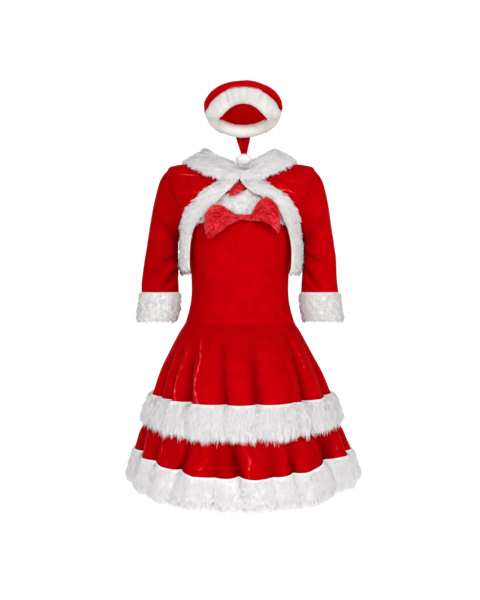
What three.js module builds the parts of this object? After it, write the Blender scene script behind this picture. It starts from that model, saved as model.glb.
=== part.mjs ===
// A christmas costume set, filled out as worn and hollow all through: a strapless drop-waist dress
// with two fur-edged skirt tiers, a bolero with three-quarter sleeves, and a soft pointed hat.
//
// Millimetres. +Z is up and the front faces -Y. Left and right are as seen from the front, so left
// is -X. The origin is the centre of the neck opening, level with the shoulders.
// A turn is an angle in degrees about +Z: 0 is the centre front, 90 the right side, 180 the back.

import * as THREE from "three";

// ---------------------------------------------------------------- driving sizes

const VELVET_WALL = 2;
const SATIN_WALL = 1.4;
const SEAM_TURN = 0.1; // half the angle left open at a seam
const SEAM = 0.3; // the gap left open between two edges
const LIFT = 1.4; // how far fur stands off the cloth that it lies on
const FUR_EDGE = 3; // thickness of a fur strip at its cut edges

// The dress, from the top of the bodice to the lower edge of the upper skirt.
const DRESS = table(
  ["z", "half", "front", "back"],
  [-92, 124, 94, 86],
  [-130, 128, 103, 92],
  [-175, 130, 108, 94],
  [-215, 127, 102, 93],
  [-273, 122, 93, 90],
  [-340, 122, 92, 92],
  [-397, 136, 103, 106],
  [-420, 150, 124, 126],
  [-467, 178, 158, 158],
  [-515, 199, 186, 186],
  [-567, 217, 205, 205],
  [-626, 233, 221, 221],
);
const BODICE_TOP = { front: -90, side: -128, back: -138 };
const DROP_WAIST = -397;
const BODICE_ROWS = [0, 0.12, 0.25, 0.4, 0.6, 0.8, 1]; // shares of the way down to the drop waist
const PRINCESS_TURN = 50; // the seam between the front and side-front panels
const UPPER_SKIRT_HEM = -626;

// The gathered tier under the upper skirt, from its seam to its hem.
const FLOUNCE = table(
  ["z", "half", "front", "back"],
  [-626.3, 220, 208, 208],
  [-640, 235, 223, 223],
  [-654, 247, 235, 235],
  [-682, 256, 244, 244],
  [-711, 264, 251, 251],
  [-778, 271, 258, 258],
);
const FLOUNCE_HEM = -778;

// The main folds of each tier: where, how wide, and how far out (or in, below zero) at its hem.
const UPPER_FOLDS = table(
  ["turn", "width", "depth"],
  [-65, 5, -7],
  [-50, 4, -6],
  [-33, 4.5, -11],
  [-22, 7, 6],
  [-9, 4.5, -9],
  [-1, 6, 4],
  [9.5, 4.5, -9],
  [21, 7, 6],
  [41.5, 4.5, -11],
  [54, 6, 6],
  [69, 5, -7],
  [106, 6, -7],
  [124, 6, 7],
  [138, 4.5, -10],
  [152, 6, 6],
  [166, 4.5, -9],
  [179, 6, 6],
  [192, 4.5, -10],
  [207, 6, 6],
  [220, 4.5, -9],
  [235, 6, 6],
  [252, 5, -7],
);
const FLOUNCE_FOLDS = table(
  ["turn", "width", "depth"],
  [-80, 5, 6],
  [-70, 4.5, -12],
  [-58, 5, 9],
  [-50, 4, -5],
  [-34, 4.5, -11],
  [-23, 5, 6],
  [1, 4.5, -12],
  [9, 5, 6],
  [26.5, 4.5, -8],
  [35, 5, 5],
  [49.5, 5.5, -15],
  [63, 5, 11],
  [78, 5, 7],
  [88, 5, -6],
  [99, 5, 7],
  [110, 4.5, -10],
  [122, 5, 8],
  [134, 4.5, -12],
  [146, 5, 7],
  [157, 4.5, -10],
  [169, 5, 8],
  [181, 4.5, -12],
  [193, 5, 7],
  [204, 4.5, -10],
  [216, 5, 8],
  [228, 4.5, -12],
  [240, 5, 7],
  [251, 4.5, -9],
  [262, 5, 6],
);
const TIER_COLUMNS = { upper: 30, flounce: 36 };

// The skirt hangs a little to the right low down, and its hem is cut higher towards the sides.
const SWAY = { right: 4.5, from: -430, to: -640 };
const HEM_RISE = { up: 11, fromSine: 0.55, toSine: 0.92, from: -660, to: -778 };

// Fur round the skirt tiers: how far down its tier, and how far it reaches out from the cloth.
const MID_FUR = table(["z", "reach"], [-567, 4], [-592, 13], [-612, 16], [-626, 17]);
const MID_FUR_OVERHANG = 16; // the pile hangs this far below the cloth edge
const HEM_FUR = table(["z", "reach"], [-711, 5], [-733, 17], [-757, 20], [-778, 17]);
const HEM_FUR_OVERHANG = 11;
const HANGING_FUR = { outer: 1.1, inner: 0.9 }; // its two faces, as shares of the last reach

// Fur along the top of the bodice front.
const BUST_FUR_TURN = 64;
const BUST_FUR_HEIGHT = 50;
const BUST_FUR_RISE = 3;
const BUST_FUR_REACH = 9;
const BUST_FUR_LIP = 0.12; // how much of its plump section is left out at each edge

// The bow: how far out from its middle, its upper and lower edge, and where its two layers lie.
const BOW_MIDDLE = 8;
const BOW_CENTER = { left: -9, right: 25, top: -141.5, bottom: -154.5, front: -124, back: -116 };
const BOW_LEFT = table(
  ["out", "top", "bottom", "y", "gap"],
  [18, -142, -155, -121, 2],
  [34, -129, -167, -126, 4],
  [54, -119, -183, -128, 5],
  [72, -123, -195, -124, 5],
  [84, -134, -191, -119, 4],
  [91, -143, -169, -115, 2],
);
const BOW_RIGHT = table(
  ["out", "top", "bottom", "y", "gap"],
  [18, -142, -155, -121, 2],
  [28, -124, -156, -126, 4],
  [42, -107, -158, -128, 5],
  [58, -106, -164, -125, 5],
  [74, -117, -176, -120, 4],
  [84, -134, -174, -114, 2],
);

// The bolero as a cape over the shoulders: each row is one ring from the neck down to the hem.
// The ring is lower at its front and back than over the shoulders.
const BOLERO = table(
  ["row", "half", "front", "back", "zSide", "zFront", "zBack"],
  [0, 82, 74, 70, 3, -42, -14],
  [1, 124, 90, 84, -3, -57, -29],
  [2, 158, 105, 98, -6, -78, -48],
  [3, 181, 114, 106, -19, -98, -74],
  [4, 177, 118, 110, -75, -124, -108],
  [5, 158, 119, 111, -125, -150, -142],
  [6, 142, 119, 110, -172, -180, -176],
  [7, 140, 117, 108, -225, -225, -225],
  [8, 140, 115, 106, -275, -275, -275],
);
const ARMHOLE = { middleRow: 4.5, rows: 1.5, turn: 28 };
// The front edge from the throat to the hem, and the outer edge of the fur along it.
const FRONT_EDGE = table(
  ["z", "inner", "outer"],
  [-46, 1.5, 24],
  [-60, 8, 44],
  [-77, 23, 73],
  [-92, 42, 95],
  [-113, 70, 117],
  [-131, 88, 130],
  [-152, 103, 135],
  [-176, 114, 136],
  [-208, 121, 136.5],
  [-240, 122, 137],
  [-262, 121, 137.5],
  [-275, 118, 138],
);
const BOLERO_LIFT = 1.8;
const BOLERO_FUR_REACH = 13;
const STRIP_ROWS = [1.1, 1.5, 2, 2.5, 3, 3.75, 4.5, 5.25, 6, 7, 7.6, 8];
const STRIP_START = { thickness: 0.3, growth: 4 }; // thin at the throat, then soon full
const BACK_HEM_FUR_ROWS = [7.2, 8];

// The collar, from its neck edge out to its edge on the shoulders.
const COLLAR = table(
  ["out", "half", "front", "back", "zSide", "zFront", "zBack", "reach"],
  [0, 80, 66, 62, 31, -20, 1, 5],
  [0.3, 95, 77, 72, 27, -25, -5, 13],
  [0.7, 119, 92, 86, 15, -41, -15, 12],
  [1, 137, 101, 95, 4, -55, -25, 4],
);
const COLLAR_ROWS = [0, 0.3, 0.7, 1];
const COLLAR_BREAK_TURN = 1.1;
const COLLAR_CUT = { share: 0.1, turn: 16 }; // how much shorter it is at its front ends

// The right sleeve below its armhole: the outer and inner point of each ring, and its half depth.
const SLEEVE = table(
  ["outX", "outZ", "inX", "inZ", "depth", "y"],
  [201, -44, 147, -184, 57, -2],
  [213, -95, 154, -198, 57, -3],
  [221, -150, 155, -217, 54, -5],
  [228, -200, 155, -240, 51, -8],
  [236, -252, 155, -270, 48, -12],
  [243, -321, 151, -321, 45, -20],
);
const SLEEVE_SIDES = 12;
const CUFF = table(
  ["z", "x", "half", "inside"],
  [-322, 197, 48, 43],
  [-333, 198, 51.5, 43],
  [-360, 202, 52.5, 43],
  [-386, 205, 52.5, 43],
  [-396, 206, 48.5, 43],
);
const CUFF_DEPTH = 0.95; // depth over width

// The end of the satin throat tie.
const TIE = table(
  ["z", "left", "right", "y"],
  [-51, -1.5, 1.5, -83],
  [-59, -6, 5, -90],
  [-70, -13, 11, -100],
  [-80, -19, 7, -109],
  [-88, -24, -3, -115],
  [-96, -24, -19, -119],
);

// The hat: a rolled band, and a bag whose rings run from the band over the top and down behind it.
const HAT_X = 8;
const BAND = { radius: 75.5, roll: 17.5, y: -20, z: 122, tilt: 22, sides: 20, rollSides: 8 };
const CROWN = table(
  ["outY", "outZ", "inY", "inZ", "half", "x"],
  [-109.5, 161.5, 73.5, 88.5, 98, 8],
  [-107, 172, 78, 96, 99.5, 8],
  [-84, 182, 81, 101, 95, 8],
  [-28, 194, 84, 103, 84, 8],
  [36, 198, 86, 102, 68, 8],
  [88, 186, 86, 98, 51, 8],
  [114, 152, 84, 91, 34, 8],
  [110, 112, 81, 83, 22, 9],
  [98, 80, 80, 78, 17, 9],
  [91, 44, 82, 44, 6.5, 10],
);
const CROWN_SIDES = 16;
const POMPOM = { x: 11, y: 88, z: 25, half: 21, halfHeight: 16, sides: 14, rows: 8 };

const VELVET = { color: 0xb90205, roughness: 0.75 };
const SATIN = { color: 0xd8182c, roughness: 0.35 };
const WHITE_FUR = { color: 0xe6e4e4, roughness: 0.95 };
const PLUSH = { color: 0xefede7, roughness: 0.9 };

// ---------------------------------------------------------------- tables and curves

// Rows of numbers as objects, under the names of their columns.
function table(names, ...rows) {
  return rows.map((row) => Object.fromEntries(names.map((name, i) => [name, row[i]])));
}

// The smooth value of column `name` where column `key` is `at`, as a cubic through the rows.
function read(rows, key, at, name) {
  const rising = Math.sign(rows.at(-1)[key] - rows[0][key]);
  let i = 0;
  while (i < rows.length - 2 && rising * (at - rows[i + 1][key]) > 0) i += 1;
  const slope = (k) => {
    const before = rows[Math.max(k - 1, 0)];
    const after = rows[Math.min(k + 1, rows.length - 1)];
    return (after[name] - before[name]) / (after[key] - before[key]);
  };
  const step = rows[i + 1][key] - rows[i][key];
  const t = THREE.MathUtils.clamp((at - rows[i][key]) / step, 0, 1);
  const rise = 3 * t ** 2 - 2 * t ** 3;
  return (
    rows[i][name] * (1 - rise) +
    rows[i + 1][name] * rise +
    slope(i) * step * (t - 2 * t ** 2 + t ** 3) +
    slope(i + 1) * step * (t ** 3 - t ** 2)
  );
}

// `count` + 1 even steps from `from` to `to`.
function steps(from, to, count) {
  return Array.from({ length: count + 1 }, (_, i) => from + ((to - from) * i) / count);
}

// The parameter between low and high where a falling function crosses zero.
function crossing(low, high, falling) {
  let [a, b] = [low, high];
  for (let i = 0; i < 40; i += 1) {
    const middle = (a + b) / 2;
    if (falling(middle) > 0) a = middle;
    else b = middle;
  }
  return (a + b) / 2;
}

// ---------------------------------------------------------------- surfaces

// A point on a ring that is an ellipse with its own depth in front and behind.
function ringPoint(half, front, back, turn, z) {
  const angle = THREE.MathUtils.degToRad(turn);
  const depth = Math.cos(angle) > 0 ? front : back;
  return new THREE.Vector3(half * Math.sin(angle), -depth * Math.cos(angle), z);
}

// A ring whose height changes from its sides to its front and back.
function dippedRing(rows, key, at, turn) {
  const value = (name) => read(rows, key, at, name);
  const cosine = Math.cos(THREE.MathUtils.degToRad(turn));
  const far = cosine > 0 ? value("zFront") : value("zBack");
  const z = value("zSide") + (far - value("zSide")) * cosine ** 2;
  return ringPoint(value("half"), value("front"), value("back"), turn, z);
}

// How far a set of folds moves the cloth out at a turn.
function foldDepth(folds, turn) {
  return folds.reduce((sum, fold) => {
    const apart = THREE.MathUtils.euclideanModulo(turn - fold.turn + 180, 360) - 180;
    return sum + fold.depth * Math.exp(-((apart / fold.width) ** 2));
  }, 0);
}

// One tier of cloth round the body, with folds that grow from nothing at `start` to full at `end`.
function tier(rows, folds, start, end) {
  return (z, turn) => {
    const value = (name) => read(rows, "z", z, name);
    const share = THREE.MathUtils.clamp((start - z) / (start - end), 0, 1);
    const out = foldDepth(folds, turn) * (2 * share - share ** 2);
    const point = ringPoint(value("half") + out, value("front") + out, value("back") + out, turn, z);
    point.x += SWAY.right * THREE.MathUtils.smoothstep(-z, -SWAY.from, -SWAY.to);
    return point;
  };
}

const dress = tier(DRESS, UPPER_FOLDS, DROP_WAIST - 8, UPPER_SKIRT_HEM);
const level = tier(FLOUNCE, FLOUNCE_FOLDS, -630, FLOUNCE_HEM);
function flounce(z, turn) {
  const sine = Math.abs(Math.sin(THREE.MathUtils.degToRad(turn)));
  const side = THREE.MathUtils.smoothstep(sine, HEM_RISE.fromSine, HEM_RISE.toSine);
  const low = THREE.MathUtils.smoothstep(-z, -HEM_RISE.from, -HEM_RISE.to);
  const point = level(z, turn);
  point.z += HEM_RISE.up * side * low;
  return point;
}
const bolero = (row, turn) => dippedRing(BOLERO, "row", row, turn);
const collar = (out, turn) => dippedRing(COLLAR, "out", out, turn);

// The direction straight out of a surface whose first parameter runs down and second round.
function outward(surface, down, turn) {
  const small = 1e-3;
  const fall = surface(down + small, turn).sub(surface(down - small, turn));
  const sweep = surface(down, turn + small).sub(surface(down, turn - small));
  const normal = fall.z > 0 ? sweep.cross(fall) : fall.cross(sweep);
  return normal.normalize();
}

// A surface point moved straight out by a distance.
function movedOut(surface, down, turn, distance) {
  return surface(down, turn).addScaledVector(outward(surface, down, turn), distance);
}

// ---------------------------------------------------------------- solids

// The closed solid between two grids of points, rows by columns. With `round` each row closes on
// itself, and the solid is a tube.
function solidBetween(outer, inner, round = false) {
  const rows = outer.length;
  const columns = outer[0].length;
  const points = [...outer.flat(), ...inner.flat()];
  const at = (side, r, c) => (side * rows + r) * columns + (c % columns);
  const faces = [];
  const quad = (a, b, c, d) => faces.push(a, b, c, a, c, d);
  const lastColumn = round ? columns : columns - 1;
  for (let c = 0; c < lastColumn; c += 1) {
    for (let r = 0; r < rows - 1; r += 1) {
      quad(at(0, r, c), at(0, r + 1, c), at(0, r + 1, c + 1), at(0, r, c + 1));
      quad(at(1, r, c), at(1, r, c + 1), at(1, r + 1, c + 1), at(1, r + 1, c));
    }
    quad(at(0, 0, c), at(0, 0, c + 1), at(1, 0, c + 1), at(1, 0, c));
    const end = rows - 1;
    quad(at(0, end, c), at(1, end, c), at(1, end, c + 1), at(0, end, c + 1));
  }
  if (!round) {
    for (let r = 0; r < rows - 1; r += 1) {
      const end = columns - 1;
      quad(at(0, r, 0), at(1, r, 0), at(1, r + 1, 0), at(0, r + 1, 0));
      quad(at(0, r, end), at(0, r + 1, end), at(1, r + 1, end), at(1, r, end));
    }
  }
  const geometry = new THREE.BufferGeometry();
  const numbers = points.flatMap((point) => point.toArray());
  geometry.setAttribute("position", new THREE.Float32BufferAttribute(numbers, 3));
  geometry.setIndex(facingOut(points, faces));
  return geometry;
}

// The faces, turned round if they enclose less than nothing.
function facingOut(points, faces) {
  let volume = 0;
  for (let i = 0; i < faces.length; i += 3) {
    const [a, b, c] = [faces[i], faces[i + 1], faces[i + 2]].map((index) => points[index]);
    volume += a.dot(b.clone().cross(c));
  }
  return volume > 0 ? faces : faces.reverse();
}

// Cloth through a grid of its outer points, with the wall on the side away from `normals`.
function clothThrough(grid, normals, wall, round = false) {
  const inner = grid.map((row, r) =>
    row.map((point, c) => point.clone().addScaledVector(normals[r][c], -wall)),
  );
  return solidBetween(grid, inner, round);
}

// The directions straight out of a grid of points, from each point's neighbours.
function gridNormals(grid, round = false) {
  const columns = grid[0].length;
  return grid.map((row, r) =>
    row.map((_, c) => {
      const above = grid[Math.max(r - 1, 0)][c];
      const below = grid[Math.min(r + 1, grid.length - 1)][c];
      const before = row[round ? (c + columns - 1) % columns : Math.max(c - 1, 0)];
      const after = row[round ? (c + 1) % columns : Math.min(c + 1, columns - 1)];
      return below.clone().sub(above).cross(after.clone().sub(before)).normalize();
    }),
  );
}

// A panel of cloth on a surface: a row for each value of `downs`, between two turns that can
// change from row to row.
function panel(surface, downs, from, to, columns) {
  const turns = (down) => steps(from(down), to(down), columns);
  const grid = downs.map((down) => turns(down).map((turn) => surface(down, turn)));
  const normals = downs.map((down) => turns(down).map((turn) => outward(surface, down, turn)));
  return clothThrough(grid, normals, VELVET_WALL);
}

// Fur on a surface, standing `lift` off it. `reach` gives its thickness from two shares: how far
// down it the point is, and how far round.
function furOn(surface, downs, turnsAt, reach, lift = LIFT) {
  const lay = (distance) =>
    downs.map((down, r) =>
      turnsAt(down).map((turn, c, all) =>
        movedOut(surface, down, turn, distance(r / (downs.length - 1), c / (all.length - 1))),
      ),
    );
  return solidBetween(
    lay((r, c) => lift + reach(r, c)),
    lay(() => lift),
  );
}

// A plump section: thin at 0 and 1, and full between them.
function plump(share, full) {
  return FUR_EDGE + (full - FUR_EDGE) * Math.sin(Math.PI * share) ** 0.7;
}

// ---------------------------------------------------------------- the set

const set = new THREE.Group();

function add(name, geometry, finish) {
  const mesh = new THREE.Mesh(geometry, new THREE.MeshStandardMaterial({ ...finish, metalness: 0 }));
  mesh.name = name;
  set.add(mesh);
  return mesh;
}

// A copy reflected to the other side of the body.
function mirrored(geometry) {
  const copy = geometry.clone();
  copy.scale(-1, 1, 1);
  copy.setIndex([...geometry.index.array].reverse());
  return copy;
}

function addPair(name, rightGeometry, finish) {
  add(`${name}_right`, rightGeometry, finish);
  add(`${name}_left`, mirrored(rightGeometry), finish);
}

// Both halves of a piece that goes all round, with side seams.
const FRONT_HALF = [-90 + SEAM_TURN, 90 - SEAM_TURN];
const BACK_HALF = [90 + SEAM_TURN, 270 - SEAM_TURN];

function addBodice() {
  const bottom = DROP_WAIST + SEAM / 2;
  const topAt = (turn) => {
    const cosine = Math.cos(THREE.MathUtils.degToRad(turn));
    const far = cosine > 0 ? BODICE_TOP.front : BODICE_TOP.back;
    return BODICE_TOP.side + (far - BODICE_TOP.side) * cosine ** 2;
  };
  // Here `down` is a share of the way from the top edge to the drop waist.
  const surface = (down, turn) => dress(topAt(turn) + (bottom - topAt(turn)) * down, turn);
  const piece = (from, to, columns) => panel(surface, BODICE_ROWS, () => from, () => to, columns);
  add("bodice_front", piece(-PRINCESS_TURN + SEAM_TURN, PRINCESS_TURN - SEAM_TURN, 8), VELVET);
  addPair("bodice_side_front", piece(PRINCESS_TURN + SEAM_TURN, FRONT_HALF[1], 4), VELVET);
  add("bodice_back", piece(...BACK_HALF, 12), VELVET);

  const rise = -BUST_FUR_RISE / (topAt(0) - bottom);
  const height = BUST_FUR_HEIGHT / (topAt(0) - bottom);
  const fur = furOn(
    surface,
    steps(rise, height, 3),
    () => steps(-BUST_FUR_TURN, BUST_FUR_TURN, 10),
    (r) => plump(BUST_FUR_LIP + (1 - 2 * BUST_FUR_LIP) * r, BUST_FUR_REACH),
  );
  add("bust_fur", fur, WHITE_FUR);
}

// Fur at the hem of a tier, with its last row hanging below the cloth.
function tierFur(surface, fur, overhang, turns) {
  const lower = ({ z, reach }, turn) => movedOut(surface, z, turn, LIFT + reach);
  const outer = fur.map((row) => turns.map((turn) => lower(row, turn)));
  const inner = fur.map(({ z }) => turns.map((turn) => movedOut(surface, z, turn, LIFT)));
  const last = fur.at(-1);
  const drop = new THREE.Vector3(0, 0, -overhang);
  const hanging = (share) =>
    turns.map((turn) =>
      movedOut(surface, last.z, turn, LIFT + last.reach * share).add(drop),
    );
  return solidBetween(
    [...outer, hanging(HANGING_FUR.outer)],
    [...inner, hanging(HANGING_FUR.inner)],
  );
}

function addSkirt() {
  const halves = [
    ["front", FRONT_HALF],
    ["back", BACK_HALF],
  ];
  const upperRows = [DROP_WAIST - SEAM / 2, -420, -467, -515, -567, UPPER_SKIRT_HEM];
  const flounceRows = FLOUNCE.map((row) => row.z);
  for (const [name, [from, to]] of halves) {
    const upper = panel(dress, upperRows, () => from, () => to, TIER_COLUMNS.upper);
    add(`skirt_upper_${name}`, upper, VELVET);
    const midTurns = steps(from, to, TIER_COLUMNS.upper);
    const midFur = tierFur(dress, MID_FUR, MID_FUR_OVERHANG, midTurns);
    add(`skirt_fur_mid_${name}`, midFur, WHITE_FUR);
    const lower = panel(flounce, flounceRows, () => from, () => to, TIER_COLUMNS.flounce);
    add(`skirt_flounce_${name}`, lower, VELVET);
    const hemTurns = steps(from, to, TIER_COLUMNS.flounce);
    const hemFur = tierFur(flounce, HEM_FUR, HEM_FUR_OVERHANG, hemTurns);
    add(`skirt_fur_hem_${name}`, hemFur, WHITE_FUR);
  }
}

// One wing of the bow: a strip that runs out in front, turns at the tip and comes back behind.
function bowWing(rows, side) {
  const tip = rows.at(-1);
  const along = [...rows.map((row) => [row, -1]), ...rows.toReversed().map((row) => [row, 1])];
  const line = (share, wall) =>
    along.map(([row, layer]) => {
      const x = BOW_MIDDLE + side * (row.out - (row === tip ? wall : 0));
      const z = row.top + (row.bottom - row.top) * share;
      return new THREE.Vector3(x, row.y + layer * (row.gap - wall), z);
    });
  const shares = steps(0, 1, 3);
  return solidBetween(
    shares.map((share) => line(share, 0)),
    shares.map((share) => line(share, SATIN_WALL)),
  );
}

function addBow() {
  add("bow_left", bowWing(BOW_LEFT, -1), SATIN);
  add("bow_right", bowWing(BOW_RIGHT, 1), SATIN);
  const { left, right, top, bottom, front, back } = BOW_CENTER;
  const face = (y, bulge) =>
    steps(0, 1, 3).map((down) =>
      steps(left, right, 4).map((x) => {
        const out = bulge * Math.sin(Math.PI * down);
        return new THREE.Vector3(x, y - out, top + (bottom - top) * down);
      }),
    );
  add("bow_center", solidBetween(face(front, 2), face(back, 0)), SATIN);
}

// The row of the bolero that passes a point of the armhole. The point's turn round the sleeve is 0
// at the shoulder, 90 behind, 180 under the arm and 270 in front.
function armholeRow(round) {
  return ARMHOLE.middleRow - ARMHOLE.rows * Math.cos(THREE.MathUtils.degToRad(round));
}

// Half the turn that the armhole takes out of a row.
function armholeTurn(row) {
  const share = (row - ARMHOLE.middleRow) / ARMHOLE.rows;
  return Math.abs(share) < 1 ? ARMHOLE.turn * Math.sqrt(1 - share ** 2) : 0;
}

// The turn at which a row of the bolero crosses a column of FRONT_EDGE.
function frontEdgeTurn(row, column) {
  return crossing(0, 89.5, (turn) => {
    const point = bolero(row, turn);
    return read(FRONT_EDGE, "z", point.z, column) - point.x;
  });
}

function addBolero() {
  const armRows = steps(0, 180, SLEEVE_SIDES / 2).map(armholeRow);
  const rows = [0, 1, 2, ...armRows, 7, 8];
  const inner = (row) => frontEdgeTurn(row, "inner");
  const frontArm = (row) => 90 - armholeTurn(row) - SEAM_TURN;
  addPair("bolero_front", panel(bolero, rows, inner, frontArm, 6), VELVET);
  const from = (row) => 90 + armholeTurn(row) + SEAM_TURN;
  const to = (row) => 270 - armholeTurn(row) - SEAM_TURN;
  add("bolero_back", panel(bolero, rows, from, to, 12), VELVET);

  const growth = (r) => Math.min(1, STRIP_START.thickness + STRIP_START.growth * r);
  const strip = furOn(
    bolero,
    STRIP_ROWS,
    (row) => steps(inner(row), frontEdgeTurn(row, "outer"), 3),
    (r, c) => plump(c, BOLERO_FUR_REACH) * growth(r),
    BOLERO_LIFT,
  );
  addPair("edge_fur", strip, WHITE_FUR);

  const backEdge = 90 + 2 * SEAM_TURN;
  const backFur = furOn(
    bolero,
    steps(...BACK_HEM_FUR_ROWS, 3),
    () => steps(backEdge, 360 - backEdge, 12),
    (r) => plump(r, BOLERO_FUR_REACH),
    BOLERO_LIFT,
  );
  add("back_hem_fur", backFur, WHITE_FUR);
}

function addCollar() {
  const turns = steps(COLLAR_BREAK_TURN, 360 - COLLAR_BREAK_TURN, 24);
  // The two front ends are cut away below, so that the throat opens under them.
  const fromBreak = (turn) => Math.min(turn, 360 - turn) / COLLAR_CUT.turn;
  const cut = (turn) => 1 - COLLAR_CUT.share * Math.max(0, 1 - fromBreak(turn));
  const side = (sign) =>
    COLLAR_ROWS.map((out) =>
      turns.map((turn) => {
        const half = (sign * read(COLLAR, "out", out, "reach")) / 2;
        return movedOut(collar, out * cut(turn), turn, half);
      }),
    );
  add("collar_fur", solidBetween(side(1), side(-1)), WHITE_FUR);
}

function addSleeves() {
  const rounds = steps(0, 360, SLEEVE_SIDES).slice(0, -1);
  const joint = rounds.map((round) => {
    const row = armholeRow(round);
    const turn = 90 + ARMHOLE.turn * Math.sin(THREE.MathUtils.degToRad(round));
    return { point: bolero(row, turn), normal: outward(bolero, row, turn) };
  });
  const first = joint.map(({ point }) => point.clone().add(new THREE.Vector3(2 * SEAM, 0, 0)));
  const rings = SLEEVE.map(({ outX, outZ, inX, inZ, depth, y }) =>
    rounds.map((round) => {
      const angle = THREE.MathUtils.degToRad(round);
      const across = Math.cos(angle);
      const x = (outX + inX) / 2 + ((outX - inX) / 2) * across;
      const z = (outZ + inZ) / 2 + ((outZ - inZ) / 2) * across;
      return new THREE.Vector3(x, y + depth * Math.sin(angle), z);
    }),
  );
  const grid = [first, ...rings];
  const normals = gridNormals(grid, true);
  // Over the shoulder the sleeve's end lies as the bolero does, so that the two walls meet.
  normals[0].forEach((normal, i) => {
    const share = Math.max(0, Math.cos(THREE.MathUtils.degToRad(rounds[i])));
    normal.lerp(joint[i].normal, share).normalize();
  });
  addPair("sleeve", clothThrough(grid, normals, VELVET_WALL, true), VELVET);
}

function addCuffs() {
  const rounds = steps(0, 360, SLEEVE_SIDES).slice(0, -1);
  const sleeveEnd = SLEEVE.at(-1);
  const ring = ({ z, x }, half) =>
    rounds.map((round) => {
      const angle = THREE.MathUtils.degToRad(round);
      const y = sleeveEnd.y + half * CUFF_DEPTH * Math.sin(angle);
      return new THREE.Vector3(x + half * Math.cos(angle), y, z);
    });
  const outer = CUFF.map((row) => ring(row, row.half));
  const inner = CUFF.map((row) => ring(row, row.inside));
  addPair("cuff", solidBetween(outer, inner, true), WHITE_FUR);
}

function addTie() {
  const grid = TIE.map(({ z, left, right, y }) =>
    steps(left, right, 2).map((x) => new THREE.Vector3(x, y, z)),
  );
  add("throat_tie", clothThrough(grid, gridNormals(grid), SATIN_WALL), SATIN);
}

function addHat() {
  const hat = new THREE.Group();
  hat.position.set(HAT_X, BAND.y, BAND.z);
  hat.rotation.x = THREE.MathUtils.degToRad(-BAND.tilt);
  const roll = new THREE.TorusGeometry(BAND.radius, BAND.roll, BAND.rollSides, BAND.sides);
  hat.add(add("hat_band", roll, PLUSH));
  set.add(hat);

  const rounds = steps(0, 360, CROWN_SIDES).slice(0, -1);
  const grid = CROWN.map(({ outY, outZ, inY, inZ, half, x }) =>
    rounds.map((round) => {
      const angle = THREE.MathUtils.degToRad(round);
      const along = Math.cos(angle);
      const y = (outY + inY) / 2 + ((outY - inY) / 2) * along;
      const z = (outZ + inZ) / 2 + ((outZ - inZ) / 2) * along;
      return new THREE.Vector3(x - half * Math.sin(angle), y, z);
    }),
  );
  add("hat_crown", clothThrough(grid, gridNormals(grid, true), VELVET_WALL, true), VELVET);

  const ball = new THREE.SphereGeometry(1, POMPOM.sides, POMPOM.rows);
  ball.scale(POMPOM.half, POMPOM.half, POMPOM.halfHeight);
  add("hat_pompom", ball, PLUSH).position.set(POMPOM.x, POMPOM.y, POMPOM.z);
}

addBodice();
addSkirt();
addBow();
addBolero();
addCollar();
addSleeves();
addCuffs();
addTie();
addHat();

export default set;
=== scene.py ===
# %% [markdown]
# # A christmas costume in velvet, satin and fur
# The set is a strapless drop-waist dress, a short bolero and a soft pointed hat, all filled out as
# if worn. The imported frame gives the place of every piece, and this lesson gives each its finish:
# cloth as thin shells with folds, fur as a plump base under a pile of tapered strands.
# All sizes in the tables are millimetres, in the frame's own axes: +Z up, the front towards -Y.

# %% Load the frame
import math

import bpy
import numpy as np
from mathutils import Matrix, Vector


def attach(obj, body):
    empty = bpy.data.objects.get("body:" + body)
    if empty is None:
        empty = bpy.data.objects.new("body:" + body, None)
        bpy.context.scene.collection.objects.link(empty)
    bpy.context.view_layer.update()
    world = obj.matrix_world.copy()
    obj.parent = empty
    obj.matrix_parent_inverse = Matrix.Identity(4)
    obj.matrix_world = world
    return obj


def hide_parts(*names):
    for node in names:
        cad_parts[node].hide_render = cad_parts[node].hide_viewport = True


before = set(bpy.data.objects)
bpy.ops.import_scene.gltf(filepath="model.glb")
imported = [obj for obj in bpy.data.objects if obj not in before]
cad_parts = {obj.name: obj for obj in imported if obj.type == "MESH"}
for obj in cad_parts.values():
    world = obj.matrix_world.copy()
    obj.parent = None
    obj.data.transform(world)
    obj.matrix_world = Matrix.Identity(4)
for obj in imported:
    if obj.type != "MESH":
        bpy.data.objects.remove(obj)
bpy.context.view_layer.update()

MM = 0.001

# %% [markdown]
# The camera comes first, because it decides what is worth modelling finely. It stands level with
# the hips, looks straight ahead, and uses a small downward shift instead of a tilt, so that the
# sides of the skirt stay true.

# %% Camera
EYE_HEIGHT = -300
EYE_DISTANCE = 1680
camera_data = bpy.data.cameras.new("camera")
camera_data.lens = 40.3
camera_data.sensor_width = 36
camera_data.shift_y = -0.028
camera = bpy.data.objects.new("camera", camera_data)
camera.location = (0, -EYE_DISTANCE * MM, EYE_HEIGHT * MM)
camera.rotation_euler = (math.radians(90), 0, 0)
bpy.context.scene.collection.objects.link(camera)
bpy.context.scene.camera = camera
print("the camera is", EYE_DISTANCE, "mm away and", -EYE_HEIGHT, "mm below the neck")

# %% [markdown]
# Everything that follows is a surface worked out on a grid: rows run down the cloth and columns run
# round it, from the wearer's front centre towards +X. A small table gives the sizes at a few
# heights, and a cubic through its rows gives every height between them.

# %% Tables and grids
def table(names, *rows):
    """Rows of numbers as named columns."""
    columns = np.array(rows, float).T
    return dict(zip(names.split(), columns))


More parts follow.
